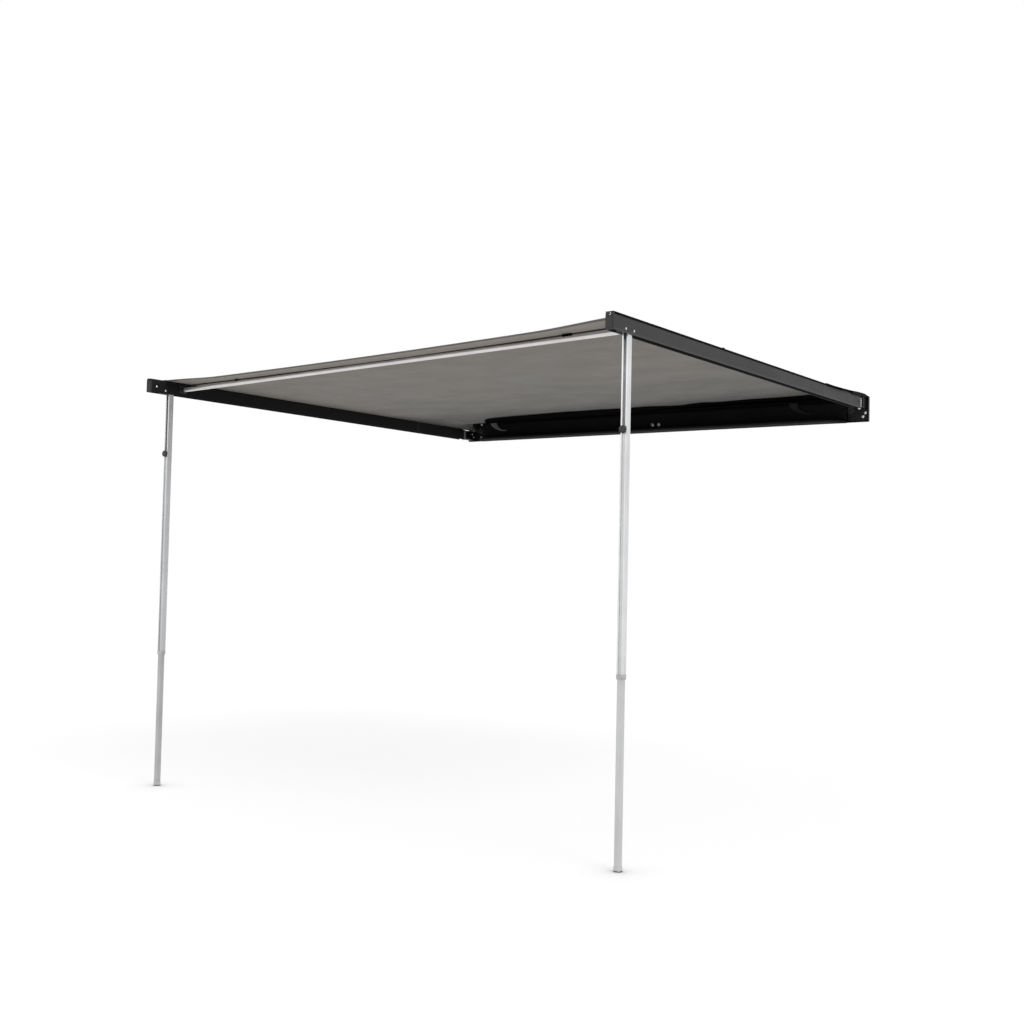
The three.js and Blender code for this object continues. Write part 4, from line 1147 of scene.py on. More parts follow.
@dataclass
class Hinge(Sided):
    """One hinge: bracket, bracket bolts, buffer, pin and nut."""

    pin: float = 0.005
    pin_head: float = 0.008
    pin_dome: float = 0.0018
    barrel: float = 0.015
    barrel_height: float = 0.044
    lug: float = 0.004
    play: float = 0.0004
    plate: float = 0.004
    plate_corner: float = 0.007
    plate_margin: float = 0.0002
    inboard: float = 0.075
    outboard: float = 0.022
    sunk: float = 0.001
    web: float = 0.003
    web_gap: float = 0.0015
    bolt_inboard: float = 0.060
    bolt_spread: float = 0.080
    buffer_radius: float = 0.019
    buffer_depth: float = 0.009
    screws: tuple[Flat, Flat] = ((0.014, -0.018), (0.002, -0.037))
    nut_height: float = 0.006

    @property
    def front(self) -> float:
        """The plate's front face."""
        return -(SIZES.rail_wall + GAP + self.plate)

    @property
    def outer(self) -> float:
        """Half the height over both lugs."""
        return self.barrel_height / 2 + self.play + self.lug

    def build(self) -> None:
        """Make the bracket and its fittings."""
        self.bracket()
        self.plate_fittings()
        self.pin_and_screws()

    def bracket(self) -> None:
        """Make the plate, its two lugs and the web between them."""
        s, x, z, outer = self.side.value, self.x, self.z, self.outer
        top = SIZES.arm_z(Side.RIGHT) + outer + self.plate_margin
        bottom = SIZES.arm_z(Side.LEFT) - outer - self.plate_margin
        low, high = sorted((x + s * self.outboard, x - s * self.inboard))
        plate = oblong(low, high, bottom, top, self.plate_corner)
        shape = bar([plate], -SIZES.rail_wall - GAP, self.front, Run.Y)
        lug = [self.lug_outline(), ring(self.pin, 32, (x, -self.out))]
        for below in (-outer, outer - self.lug):
            shape.add(bar(lug, z + below, z + below + self.lug, Run.Z))
        near, far = sorted(x + s * (self.barrel + self.web_gap + wall) for wall in (0, self.web))
        web = oblong(near, far, -self.out, self.front + self.sunk)
        shape.add(bar([web], z - outer, z + outer, Run.Z))
        add_piece(f"bracket_{self.word}", shape, BLACKED, "rail", [f"{self.word}_hinge_bracket"], edge=0.0007)

    def lug_outline(self) -> list[Flat]:
        """The lug's outline in x and y, round at the pin and flaring into the plate.

        Returns:
            The closed outline.
        """
        s, x, y, front, barrel = self.side.value, self.x, -self.out, self.front, self.barrel
        web = x + s * (barrel + self.web_gap + self.web)
        angles = steps_between(0, TURN / 2, 24)[1:]
        arc = [(x + s * barrel * math.cos(a), y - barrel * math.sin(a)) for a in angles]
        flare = [(barrel, -0.012), (barrel + 0.004, -0.003), (barrel + 0.012, self.sunk)]
        foot = [(x - s * across, front + ahead) for across, ahead in flare]
        # The web's corner is listed twice: how the flat faces divide there sets how the edge's round runs.
        return [(web, y)] * 2 + arc + foot + [(web, front + self.sunk)]

    def plate_fittings(self) -> None:
        """Make the bracket's bolts and its rubber buffer."""
        word, front = self.word, self.front
        middle = self.x - self.side.value * self.bolt_inboard
        for name, up in (("upper", 1), ("lower", -1)):
            head = DomedBolt().shape((middle, front, up * self.bolt_spread / 2), OUTWARD)
            painted = self.side is Side.RIGHT and name == "lower"
            finish = BLACKED if painted else ZINC
            add_piece(f"bracket_bolt_{word}_{name}", head, finish, "rail", [f"{word}_bracket_bolt_{name}"])
        r, d = self.buffer_radius, self.buffer_depth
        rim = [(0, GAP), (r, GAP), (r, d * 0.6), (r - 0.001, d * 0.9), (r - 0.003, d), (r * 0.62, d),
               (r * 0.56, d * 0.8), (r * 0.2, d * 0.74), (0, d * 0.74)]
        buffer = turning(rim, 48, (middle, front, 0), OUTWARD)
        add_piece(f"buffer_{word}", buffer, BUFFER_RUBBER, "rail", [f"{word}_arm_buffer"], crease=50)

    def pin_and_screws(self) -> None:
        """Make the hinge pin, the plate's two screws and the pin's nut."""
        s, word, x, y = self.side.value, self.word, self.x, -self.out
        top, seat = self.outer + GAP, self.z - self.outer - GAP
        r, tip, head, dome = self.pin - 0.0001, -self.outer - 0.0075, self.pin_head, self.pin_dome
        profile = [(0, tip), (r - 0.0007, tip), (r, tip + 0.001), (r, top), (head, top), (head, top + dome)]
        profile += [(head * math.cos(a), top + dome * (1 + math.sin(a))) for a in (0.4, 0.8, 1.2)]
        profile.append((0, top + 2 * dome))
        pin = turning(profile, 32, (x, y, self.z), UP)
        add_piece(f"pin_{word}", pin, ZINC, "rail", [f"{word}_hinge_pin"])
        for number, (outboard, height) in enumerate(self.screws):
            screw = DomedBolt(0.0062, 0.0042, 0.0074).shape((x + s * outboard, self.front, height), OUTWARD)
            add_piece(f"bracket_screw_{word}_{number}", screw, ZINC)
        # The nut is made about the origin and then moved, so that both sides' flat faces divide alike.
        nut = bar([ring(head, 6), ring(self.pin + GAP, 24)], seat - self.nut_height, seat, Run.Z)
        nut.points = [point + Vector((x, y, 0)) for point in nut.points]
        add_piece(f"pin_nut_{word}", nut, ZINC, "rail", [f"{word}_hinge_nut"], edge=0.0005)


@dataclass
class Arm(Sided):
    """One arm: its channel, front cap, knuckle and rivets, and the fittings inside it."""

    channel_start: float = 0.022
    channel_lip: float = 0.0006
    cap_flange: float = 0.004
    cap_panel: float = 0.005
    cap_lug: float = 0.008
    knuckle_radius: float = 0.015
    knuckle_height: float = 0.044
    knuckle_bore: float = 0.0053
    ring_depth: float = 0.0022
    ring_edge: float = 0.0004
    rings: int = 4
    rivet_back: Flat = (0.084, 0.141)
    rivet_rise: float = 0.015
    cap_rivets: tuple[Flat, Flat] = ((0.031, 0.028), (0.082, 0.014))
    seam_back: float = 1.913
    seam_width: float = 0.0016

    @property
    def body(self) -> str:
        """The CAD body that the arm's pieces ride on."""
        return f"{self.word}_arm"

    def build(self) -> None:
        """Make the arm's pieces and dress the ones that keep their CAD shape."""
        self.channel()
        self.front_cap()
        self.knuckle()
        self.rivets()
        for node, finish in (("leg_saddle", SADDLE), ("knuckle_screw", COATED_SCREW), ("leg_pivot_pin", ZINC),
                             ("spreader_socket", PLASTIC)):
            dress_node(f"{self.word}_{node}", finish)

    def placed(self, section: Sequence[Flat]) -> list[Flat]:
        """A section moved to the arm's place in x and z."""
        return [(self.x + u, self.z + v) for u, v in section]

    def section(self, grow: float, wall: float, inner_corner: float, lip: float, cut: float) -> list[Flat]:
        """The outline of an inverted channel.

        Args:
            grow: How far its outside stands out from the arm's faces.
            wall: Its wall.
            inner_corner: Radius inside its two corners.
            lip: Radius of its lower edges.
            cut: How far its lower edges end above the arm's underside.

        Returns:
            The outline in x and z, in the arm's place.
        """
        w, h, corner = SIZES.arm_width / 2 + grow, SIZES.arm_height / 2 + grow, SIZES.arm_corner + grow
        u, v, low = w - wall, h - wall, cut - SIZES.arm_height / 2
        corners = [(w, low), (w, h), (-w, h), (-w, low), (-u, low), (-u, v), (u, v), (u, low)]
        radii = [lip, corner, corner, lip, lip, inner_corner, inner_corner, lip]
        return self.placed(rounded(corners, radii, 8))

    def channel(self) -> None:
        """Make the channel, and the joint line of its rear sleeve as a thin band round it."""
        corner, wall = SIZES.arm_corner, SIZES.arm_wall
        tube = self.section(0.0, wall, corner - wall, self.channel_lip, 0.0)
        channel = bar([tube], -self.out - self.channel_start, self.cap_flange + GAP - SIZES.reach, Run.Y)
        add_piece(f"arm_{self.word}", channel, ARM_COAT[self.side], self.body, [f"{self.word}_arm_channel"],
                  crease=50)
        seam = self.seam_back - SIZES.reach
        band = bar([self.section(0.0004, 0.0006, corner, 0.0, 0.001)], seam, seam + self.seam_width, Run.Y)
        add_piece(f"arm_seam_{self.word}", band, ARM_SEAM, self.body, crease=50)

    def front_cap(self) -> None:
        """Make the moulded front cap with the lug for the canopy's corner."""
        w, h, corner, panel = SIZES.arm_width / 2, SIZES.arm_height / 2, SIZES.arm_corner, self.cap_panel
        x, top, front = self.x, SIZES.arm_top(self.side), -SIZES.reach
        face = rounded([(-w, -h), (w, -h), (w, h), (-w, h)], [0.0015, 0.0015, corner, corner], 8)
        raised = oblong(-w + panel, w - panel, -h + panel, h - panel, 0.003)
        half, under = self.cap_lug / 2, top - self.cap_lug
        cap = bar([self.placed(face)], front, front + self.cap_flange, Run.Y)
        cap.add(bar([self.placed(raised)], front - 0.0008, front + 0.001, Run.Y))
        cap.add(bar([oblong(x - half, x + half, under, top, 0.0018)], front - 0.006, front + 0.001, Run.Y))
        add_piece(f"arm_cap_{self.word}", cap, CAP_COAT[self.side], self.body, [f"{self.word}_arm_front_cap"],
                  crease=50, edge=0.0007)
        if self.side is Side.RIGHT:
            self.corner_ring(Vector((x + 0.003, front - 0.0035, under + 0.0005)))

    def corner_ring(self, middle: Vector) -> None:
        """Make the small bent ring in the canopy's corner.

        Args:
            middle: The ring's middle.
        """
        loop = [middle + Vector((0.0034 * math.cos(a), 0.001 * math.cos(2 * a), 0.0036 * math.sin(a)))
                for a in steps_between(0, TURN, 28)]
        add_piece("corner_ring", pipe(loop, 0.0012), ZINC, self.body, crease=60)

    def knuckle(self) -> None:
        """Make the ringed barrel, its neck and the plug inside the channel."""
        x, y, rise = self.x, -self.out, self.knuckle_height / 2
        low, high = self.z - rise, self.z + rise
        neck = bar([oblong(x - 0.012, x + 0.012, low, high, 0.003)], y - 0.0125, y - 0.029, Run.Y)
        half, inside = SIZES.arm_width / 2 - SIZES.arm_wall - GAP, y - self.channel_start
        neck.add(bar([oblong(x - half, x + half, low, high, 0.003)], inside - GAP, inside - 0.060, Run.Y))
        add_piece(f"knuckle_{self.word}", neck, BLACKED, self.body, [f"{self.word}_rear_knuckle"], crease=40)
        count = 2 * self.rings + 1
        levels = steps_between(-rise, rise, count)
        profile = [(self.knuckle_bore, levels[0])]
        for i, (start, end) in enumerate(zip(levels, levels[1:])):
            groove = i % 2 == 1
            r = self.knuckle_radius - self.ring_depth * groove
            edge = self.ring_edge * (not groove)
            profile += [(r - edge, start), (r, start + edge), (r, end - edge), (r - edge, end)]
        profile.append((self.knuckle_bore, levels[-1]))
        barrel = turning(profile, 64, (x, y, self.z), UP)
        add_piece(f"knuckle_barrel_{self.word}", barrel, RINGED[self.side], self.body, crease=40)

    def rivets(self) -> None:
        """Make the saddle's rivets on the outer face and the cap's rivets on the inner one."""
        s, word, half = self.side.value, self.word, SIZES.arm_width / 2
        bottom = self.z - SIZES.arm_height / 2
        for name, back in zip(("front", "rear"), self.rivet_back):
            seat = (self.x + s * half, back - SIZES.reach, bottom + self.rivet_rise)
            rivet = BlindRivet().shape(seat, (s, 0, 0))
            add_piece(f"rivet_{word}_{name}", rivet, ZINC, self.body, [f"{word}_saddle_rivet_{name}"])
        for number, (back, rise) in enumerate(self.cap_rivets):
            seat = (self.x - s * half, back - SIZES.reach, bottom + rise)
            add_piece(f"cap_rivet_{word}_{number}", BlindRivet().shape(seat, (-s, 0, 0)), ZINC, self.body)


@dataclass
class Leg(Sided):
    """One telescopic leg: outer tube, head, collar, inner tube, clamp knob and foot."""

    width: float = 0.026
    wall: float = 0.0016
    slot: float = 0.012
    groove: float = 0.0052
    groove_depth: float = 0.0011
    groove_offset: float = 0.0008
    outer_drop: float = 1.211
    head: float = 0.013
    inner_width: float = 0.0218
    inner_wall: float = 0.0014
    inner_top: float = 0.015
    collar_width: float = 0.0276
    collar_sleeve: float = 0.012
    collar_lip: float = 0.005
    foot_width: float = 0.024
    foot_height: float = 0.018
    foot_ribs: tuple[float, ...] = (0.004, 0.009, 0.014)
    rib_height: float = 0.0022
    # The sole's height; its dark tone is a painted contact shadow
    sole: float = 0.003
    knob_radius: float = 0.015
    knob_depth: float = 0.012
    knob_lobes: int = 9
    knob_flute: float = 0.0022

    @property
    def lower_end(self) -> float:
        """Height of the outer leg's lower end."""
        return self.z - SIZES.arm_height / 2 - self.outer_drop

    @property
    def knob_z(self) -> float:
        """Height of the clamp knob."""
        return SIZES.ground + SIZES.knob_height

    def build(self) -> None:
        """Make the leg's pieces from the head down to the foot."""
        word = self.word
        dress_node(f"{word}_leg_head", PLASTIC)
        dress_node(f"{word}_clamp_shoe", ZINC)
        outer = bar([self.outer_section()], self.lower_end, SIZES.pivot_z(self.side) - self.head - GAP, Run.Z)
        add_piece(f"leg_outer_{word}", outer, LEG_METAL[self.side], f"{word}_leg", [f"{word}_outer_leg"],
                  crease=28)
        self.collar()
        self.inner_tube()
        self.knob()
        self.foot()

    def outer_section(self) -> list[Flat]:
        """The slotted square tube's section, with a shallow groove in each side.

        Returns:
            The closed outline.
        """
        w, n, h = self.width / 2, self.width / 2 - self.wall, self.slot / 2
        half, depth, middle = self.groove / 2, self.groove_depth, self.groove_offset
        groove = [(w, middle - half, 0.0), (w - depth, middle - half * 0.7, 0.0),
                  (w - depth, middle + half * 0.7, 0.0), (w, middle + half, 0.0)]
        edge, inside, outside = 0.0007, 0.0008, 0.0018
        corners = [(h, -w, edge), (w, -w, outside), *groove, (w, w, outside), (-w, w, outside)]
        corners += [(-u, v, r) for u, v, r in reversed(groove)]
        corners += [(-w, -w, outside), (-h, -w, edge), (-h, -n, edge), (-n, -n, inside), (-n, n, inside),
                    (n, n, inside), (n, -n, inside), (h, -n, edge)]
        outline = rounded([(u, v) for u, v, _ in corners], [r for _, _, r in corners], 4)
        return [(self.x + u, SIZES.leg_y + v) for u, v in outline]

    def square(self, width: float, radius: float) -> list[Flat]:
        """A rounded square about the leg's centre line."""
        half, x, y = width / 2, self.x, SIZES.leg_y
        return oblong(x - half, x + half, y - half, y + half, radius)

    def collar(self) -> None:
        """Make the moulded guide on the outer leg's lower end."""
        word, end = self.word, self.lower_end
        lip = [self.square(self.collar_width - 0.0016, 0.002), self.square(self.inner_width + 0.0008, 0.001)]
        sleeve = [self.square(self.collar_width, 0.0024), self.square(self.width + 0.0004, 0.0018)]
        shape = bar(lip, end - GAP - self.collar_lip, end - GAP, Run.Z)
        shape.add(bar(sleeve, end - 0.0012, end + self.collar_sleeve, Run.Z))
        add_piece(f"leg_collar_{word}", shape, COLLAR_PLASTIC, f"{word}_leg", [f"{word}_leg_collar"],
                  crease=40, edge=0.0004)

    def inner_tube(self) -> None:
        """Make the square inner tube."""
        word, width = self.word, self.inner_width
        loops = [self.square(width, 0.0022), self.square(width - 2 * self.inner_wall, 0.001)]
        tube = bar(loops, SIZES.ground + self.foot_height + GAP, self.knob_z + self.inner_top, Run.Z)
        finish = INNER_METAL[self.side]
        add_piece(f"leg_inner_{word}", tube, finish, f"{word}_lower_leg", [f"{word}_inner_leg"], crease=28)

    def knob(self) -> None:
        """Make the fluted clamp knob with its raised middle."""
        word, r, d = self.word, self.knob_radius, self.knob_depth
        face = (self.x, SIZES.leg_y - self.width / 2 - 0.0005, self.knob_z)
        profile = [(0, 0), (0.0033, 0), (r * 0.72, 0), (r * 0.9, 0.0008), (r, 0.0022), (r, d * 0.66),
                   (r * 0.95, d * 0.84), (r * 0.82, d * 0.95), (r * 0.6, d), (r * 0.42, d),
                   (r * 0.38, d * 0.9), (r * 0.12, d * 0.88), (0, d * 0.88)]
        shape = turning(profile, 108, face, OUTWARD, flutes=self.knob_lobes, depth=self.knob_flute)
        add_piece(f"knob_{word}", shape, KNOB, f"{word}_knob", [f"{word}_clamp_knob"], crease=45)

    def foot(self) -> None:
        """Make the ribbed rubber foot, and its dark sole, whose tone is a painted contact shadow."""
        word, base, width, height = self.word, SIZES.ground, self.foot_width, self.foot_height
        block = self.square(width, 0.003)
        shape = bar([block], base + self.sole, base + height, Run.Z)
        for rise in self.foot_ribs:
            rib = self.square(width + 0.0008, 0.0033)
            shape.add(bar([rib], base + rise, base + rise + self.rib_height, Run.Z))
        plug = self.square(self.inner_width - 2 * self.inner_wall - 0.0006, 0.001)
        shape.add(bar([plug], base + height - 0.001, base + height + 0.026, Run.Z))
        body = f"{word}_lower_leg"
        add_piece(f"foot_{word}", shape, RUBBER, body, [f"{word}_foot"], crease=40, edge=0.0006)
        # The dark sole paints the contact shadow at the foot's base
        sole = bar([block], base, base + self.sole, Run.Z)
        add_piece(f"foot_sole_{word}", sole, SOLE_SHADOW, body, crease=40, edge=0.0003)


@dataclass
class Spreader:
    """The tube between the arms and its end plugs."""

    radius: float = 0.0097
    wall: float = 0.0013
    half: float = 1.2068
    edge: float = 0.0004

    def build(self) -> None:
        """Make the tube and dress its plugs."""
        low, high = SIZES.arm_z(Side.LEFT), SIZES.arm_z(Side.RIGHT)
        tilt = math.atan2(SIZES.arm_step, 2 * SIZES.inner_face)
        z = (low + high) / 2 - SIZES.arm_height / 2 + SIZES.spreader_rise
        r, half, edge = self.radius, self.half, self.edge
        profile = [(r - self.wall, -half), (r - edge, -half), (r, -half + edge), (r, half - edge),
                   (r - edge, half), (r - self.wall, half)]
        way = (math.cos(tilt), 0, math.sin(tilt))
        tube = turning(profile, 48, (0, SIZES.spreader_back - SIZES.reach, z), way)
        add_piece("spreader_bar", tube, TUBE_METAL, "spreader", ["spreader_tube"], crease=40)
        for side in Side:
            dress_node(f"spreader_plug_{side.word}", TUBE_METAL)


@dataclass
class Canopy:
    """The stretched sheet with its hem, seams, bindings, gusset, tabs and rear strip."""

    thickness: float = 0.001
    columns: int = 120
    rows: int = 120
    back_y: float = -0.0164
    keep: float = 0.009
    hem_sag: float = 0.010
    hem_rows: tuple[float, ...] = (0.0, 0.006, 0.014, 0.022, 0.028)
    stitch_rows: Flat = (0.009, 0.021)
    stitch: float = 0.0034
    stitch_pitch: float = 0.0052
    arm_rise: float = 0.0022
    arm_room: tuple[float, float, float, float] = (0.0164, 0.040, 0.085, 0.160)
    seam_y: float = -2.250
    seam_drop: tuple[Flat, ...] = ((0.0, 0.0), (0.0002, -0.003), (-0.0004, -0.0065))
    tabs: tuple[tuple[float, float, float], ...] = ((0.92, 0.040, 0.014), (-0.90, 0.016, 0.009))
    binding_tab_y: float = -1.616
    strip_reach: tuple[Flat, ...] = (
        (-1.13, 0.03), (-0.75, 0.475), (-0.33, 0.475), (-0.1, 0.45), (0.19, 0.412), (0.39, 0.335),
        (0.52, 0.355), (0.63, 0.322), (0.75, 0.315), (0.95, 0.25), (1.2, 0.25))
    pieces: list[Piece] = field(default_factory=list)

    def surface(self, x: float, y: float) -> float:
        """Height of the sheet's middle, with its soft tension folds and room for the arms' rear ends.

        Args:
            x: Distance along the vehicle.
            y: Distance from the mounting face, negative outward.

        Returns:
            The height in metres.
        """
        base = SIZES.canopy_under(x, y) + self.thickness / 2 + 0.0002
        inboard, back = SIZES.inner_face - abs(x), -y
        inner, rear = smooth_step(inboard, 0.0, 0.22), smooth_step(back, 0.16, 0.42)
        wave = 0.0026 * noise.fractal(Vector((x * 1.7 + y * 0.5, y * 1.5 - x * 0.35, 0.3)), 0.8, 2.1, 4)
        fan = ripple(0.0016, x * 2.0, y * 9.0 + x * 3.0, 4.0) * bell(abs(x), 1.05, 0.35)
        calm = 1 - 0.8 * smooth_step(back, 2.0, 2.22)
        hem = -self.hem_sag * smooth_step(inboard, 0.0, 0.36) * smooth_step(back, 2.27, 2.40)
        room = smooth_step(back, *self.arm_room[:2]) * (1 - smooth_step(back, *self.arm_room[2:]))
        return base + inner * rear * (wave + fan) * calm + hem + self.arm_rise * room

    def under(self, x: float, y: float) -> float:
        """Height of the sheet's underside."""
        return self.surface(x, y) - self.thickness / 2

    def sew(self, name: str, shape: Shape, finish: Finish, wall: float, crease: float = 80.0) -> None:
        """Make one piece of the canopy."""
        self.pieces.append(add_piece(name, shape, finish, crease=crease, wall=wall))

    def build(self) -> None:
        half = SIZES.canopy_half
        front = SIZES.canopy_front_inset - SIZES.reach
        xs = steps_between(-half, half, self.columns)
        ys = steps_between(front, self.back_y, self.rows)
        shape = grid(xs, ys, lambda x, y: Vector((x, y, self.surface(x, y))))
        sheet = add_piece("canopy_sheet", shape, CANOPY_CLOTH, "rail", ["canopy"], crease=80,
                          wall=self.thickness)
        self.pieces = [sheet]
        self.hem(front)
        self.tube_seam()
        for number, (x, width, drop) in enumerate(self.tabs):
            self.tab(number, x, width, drop)
        for side in Side:
            self.binding(side)
        self.binding_tab()
        self.gusset(Side.LEFT)
        self.rear_strip()
        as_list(self.pieces[1:])
        for obj in self.pieces:
            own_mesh(obj)

    def hem(self, front: float) -> None:
        """Make the doubled front hem under the sheet's edge and its two rows of stitches.

        Args:
            front: Where the sheet's front edge lies.
        """
        half = SIZES.canopy_half - 0.045
        hem = grid(steps_between(-half, half, 120), [front + row for row in self.hem_rows],
                   lambda x, y: Vector((x, y, self.surface(x, y) - self.thickness)))
        self.sew("canopy_front_hem", hem, CANOPY_TAPE, 0.0009)
        stitches = Shape()
        half = SIZES.canopy_half - 0.05
        for row in self.stitch_rows:
            y = front + row
            for k in range(int(2 * half / self.stitch_pitch)):
                x = -half + k * self.stitch_pitch
                ends = [Vector((u, y, self.surface(u, y) - 0.0016)) for u in (x, x + self.stitch)]
                stitches.add(pipe(ends, 0.00035, 4))
        self.sew("hem_stitches", stitches, THREAD, 0.0)

    def tube_seam(self) -> None:
        """Make the seam that hangs from the sheet's underside behind the tube; its dark tone is painted
        shade.
        """
        half = SIZES.inner_face - 0.004

        def at(x: float, k: int) -> Vector:
            """A point of the seam at a place along it and down its drop."""
            back, drop = self.seam_drop[k]
            return Vector((x, self.seam_y + back, self.under(x, self.seam_y) + drop))

        seam = grid(steps_between(-half, half, 120), range(len(self.seam_drop)), at)
        self.sew("canopy_tube_seam", seam, SEAM_SHADE_TAPE, 0.0012)

    def tab(self, number: int, x: float, width: float, drop: float) -> None:
        """Make one loop of black tape on the tube's seam.

        Args:
            number: The tab's number, from the right.
            x: Its middle along the seam.
            width: Its width.
            drop: How far it hangs from the sheet.
        """
        loop = [(-0.0035, 0.0), (-0.0045, 0.5), (-0.003, 0.9), (0.0, 1.0)]
        loop += [(-back, share) for back, share in reversed(loop[:3])]

        def at(w: float, k: int) -> Vector:
            """A point of the tab at a place across it and along its loop."""
            back, share = loop[k]
            return Vector((x + w, self.seam_y - 0.006 + back, self.under(x + w, self.seam_y) - drop * share))

        tab = grid(steps_between(-width / 2, width / 2, 4), range(len(loop)), at)
        self.sew(f"canopy_tab_{number}", tab, TAPE, 0.0014, 60)

    def binding(self, side: Side) -> None:
        """Make the black binding along one side edge, turned down over the arm's shoulder.

        Args:
            side: The canopy's side.
        """
        s, out = side.value, SIZES.span / 2
        across = [(SIZES.inner_face - 0.004, 0.0013), (out - 0.022, 0.0014), (out - 0.0062, 0.0014),
                  (out - 0.003, 0.0008), (out - 0.0006, -0.001), (out + 0.0007, -0.0034),
                  (out + 0.0011, -0.0084)]
        front = SIZES.canopy_front_inset if side is Side.LEFT else 0.006
        ys = steps_between(front - SIZES.reach, -SIZES.canopy_level - SIZES.canopy_ramp, 76)
        top = SIZES.arm_top(side) + SIZES.canopy_lift + 0.0008

        def at(k: int, y: float) -> Vector:
            """A point of the binding's cross-section at a place along the arm."""
            x, up = across[k]
            return Vector((s * x, y, top + up + ripple(0.0003, y * 30, s * 3.0, 0)))

        self.sew(f"canopy_binding_{side.word}", grid(range(len(across)), ys, at), TAPE, 0.001, 60)

    def binding_tab(self) -> None:
        """Make the small folded tab on the right binding's top, a third of the way from the tip."""
        x, y = SIZES.span / 2 - 0.005, self.binding_tab_y
        top = SIZES.arm_top(Side.RIGHT) + SIZES.canopy_lift + 0.002
        fold = [(-0.022, 0.0), (-0.012, 0.0012), (-0.004, 0.0036), (0.003, 0.0042), (0.009, 0.0022),
                (0.016, 0.0)]
        tab = grid([x - 0.009, x - 0.003, x], range(len(fold)),
                   lambda u, k: Vector((u, y + fold[k][0], top + fold[k][1])))
        self.sew("binding_tab", tab, TAPE, 0.001, 60)

    def gusset(self, side: Side) -> None:
        """Make the side panel that closes the gap down to an arm where the sheet rises to the rail.

        Args:
            side: The canopy's side.
        """
        s, low = side.value, SIZES.arm_top(side) + 0.0014
        ys = steps_between(-SIZES.canopy_level - SIZES.canopy_ramp, self.back_y - 0.003, 40)

        def at(y: float, v: float) -> Vector:
            """A point of the panel, v from the sheet (0) down to the arm (1).

            Args:
                y: Distance from the mounting face, negative outward.
                v: The share of the way down.

            Returns:
                The point.
            """
            x = SIZES.axis_x + 0.004 + ripple(0.002, y * 11, v * 2, 6.0)
            top = self.under(s * x, y) + 0.0002
            billow = 0.004 * math.sin(math.pi * v) * min(1.0, (top - low) / 0.03)
            return Vector((s * (x - billow), y, top + (low - top) * v))

        self.sew(f"canopy_gusset_{side.word}", grid(ys, steps_between(0, 1, 8), at), GUSSET_CLOTH, 0.0009)

    def rear_strip(self) -> None:
        """Make the black strip sewn under the canopy's rear edge, with its loose front edge; its cloth is a
        darker copy of the bag's, which is painted shade.
        """
        half = SIZES.inner_face - 0.03

        def at(x: float, v: float) -> Vector:
            """A point of the strip, v from the rail (0) to its front edge (1).

            Args:
                x: Distance along the rail.
                v: The share of the way out.

            Returns:
                The point.
            """
            edge = along(self.strip_reach, x) + ripple(0.012, x * 1.1, 7.0, 0)
            y = self.back_y - 0.003 - v * edge
            loose = 0.0006 + v * (0.004 + ripple(0.003, x * 4.0, v * 2, 3.0))
            drop = 0.0006 + loose * smooth_step(-y, *self.arm_room[2:])
            return Vector((x, y, self.under(x, y) - 0.0002 - drop))

        strip = grid(steps_between(-half, half, 160), steps_between(0, 1, 15), at)
        self.sew("canopy_rear_strip", strip, STRIP_SHADE_CLOTH, 0.0008)


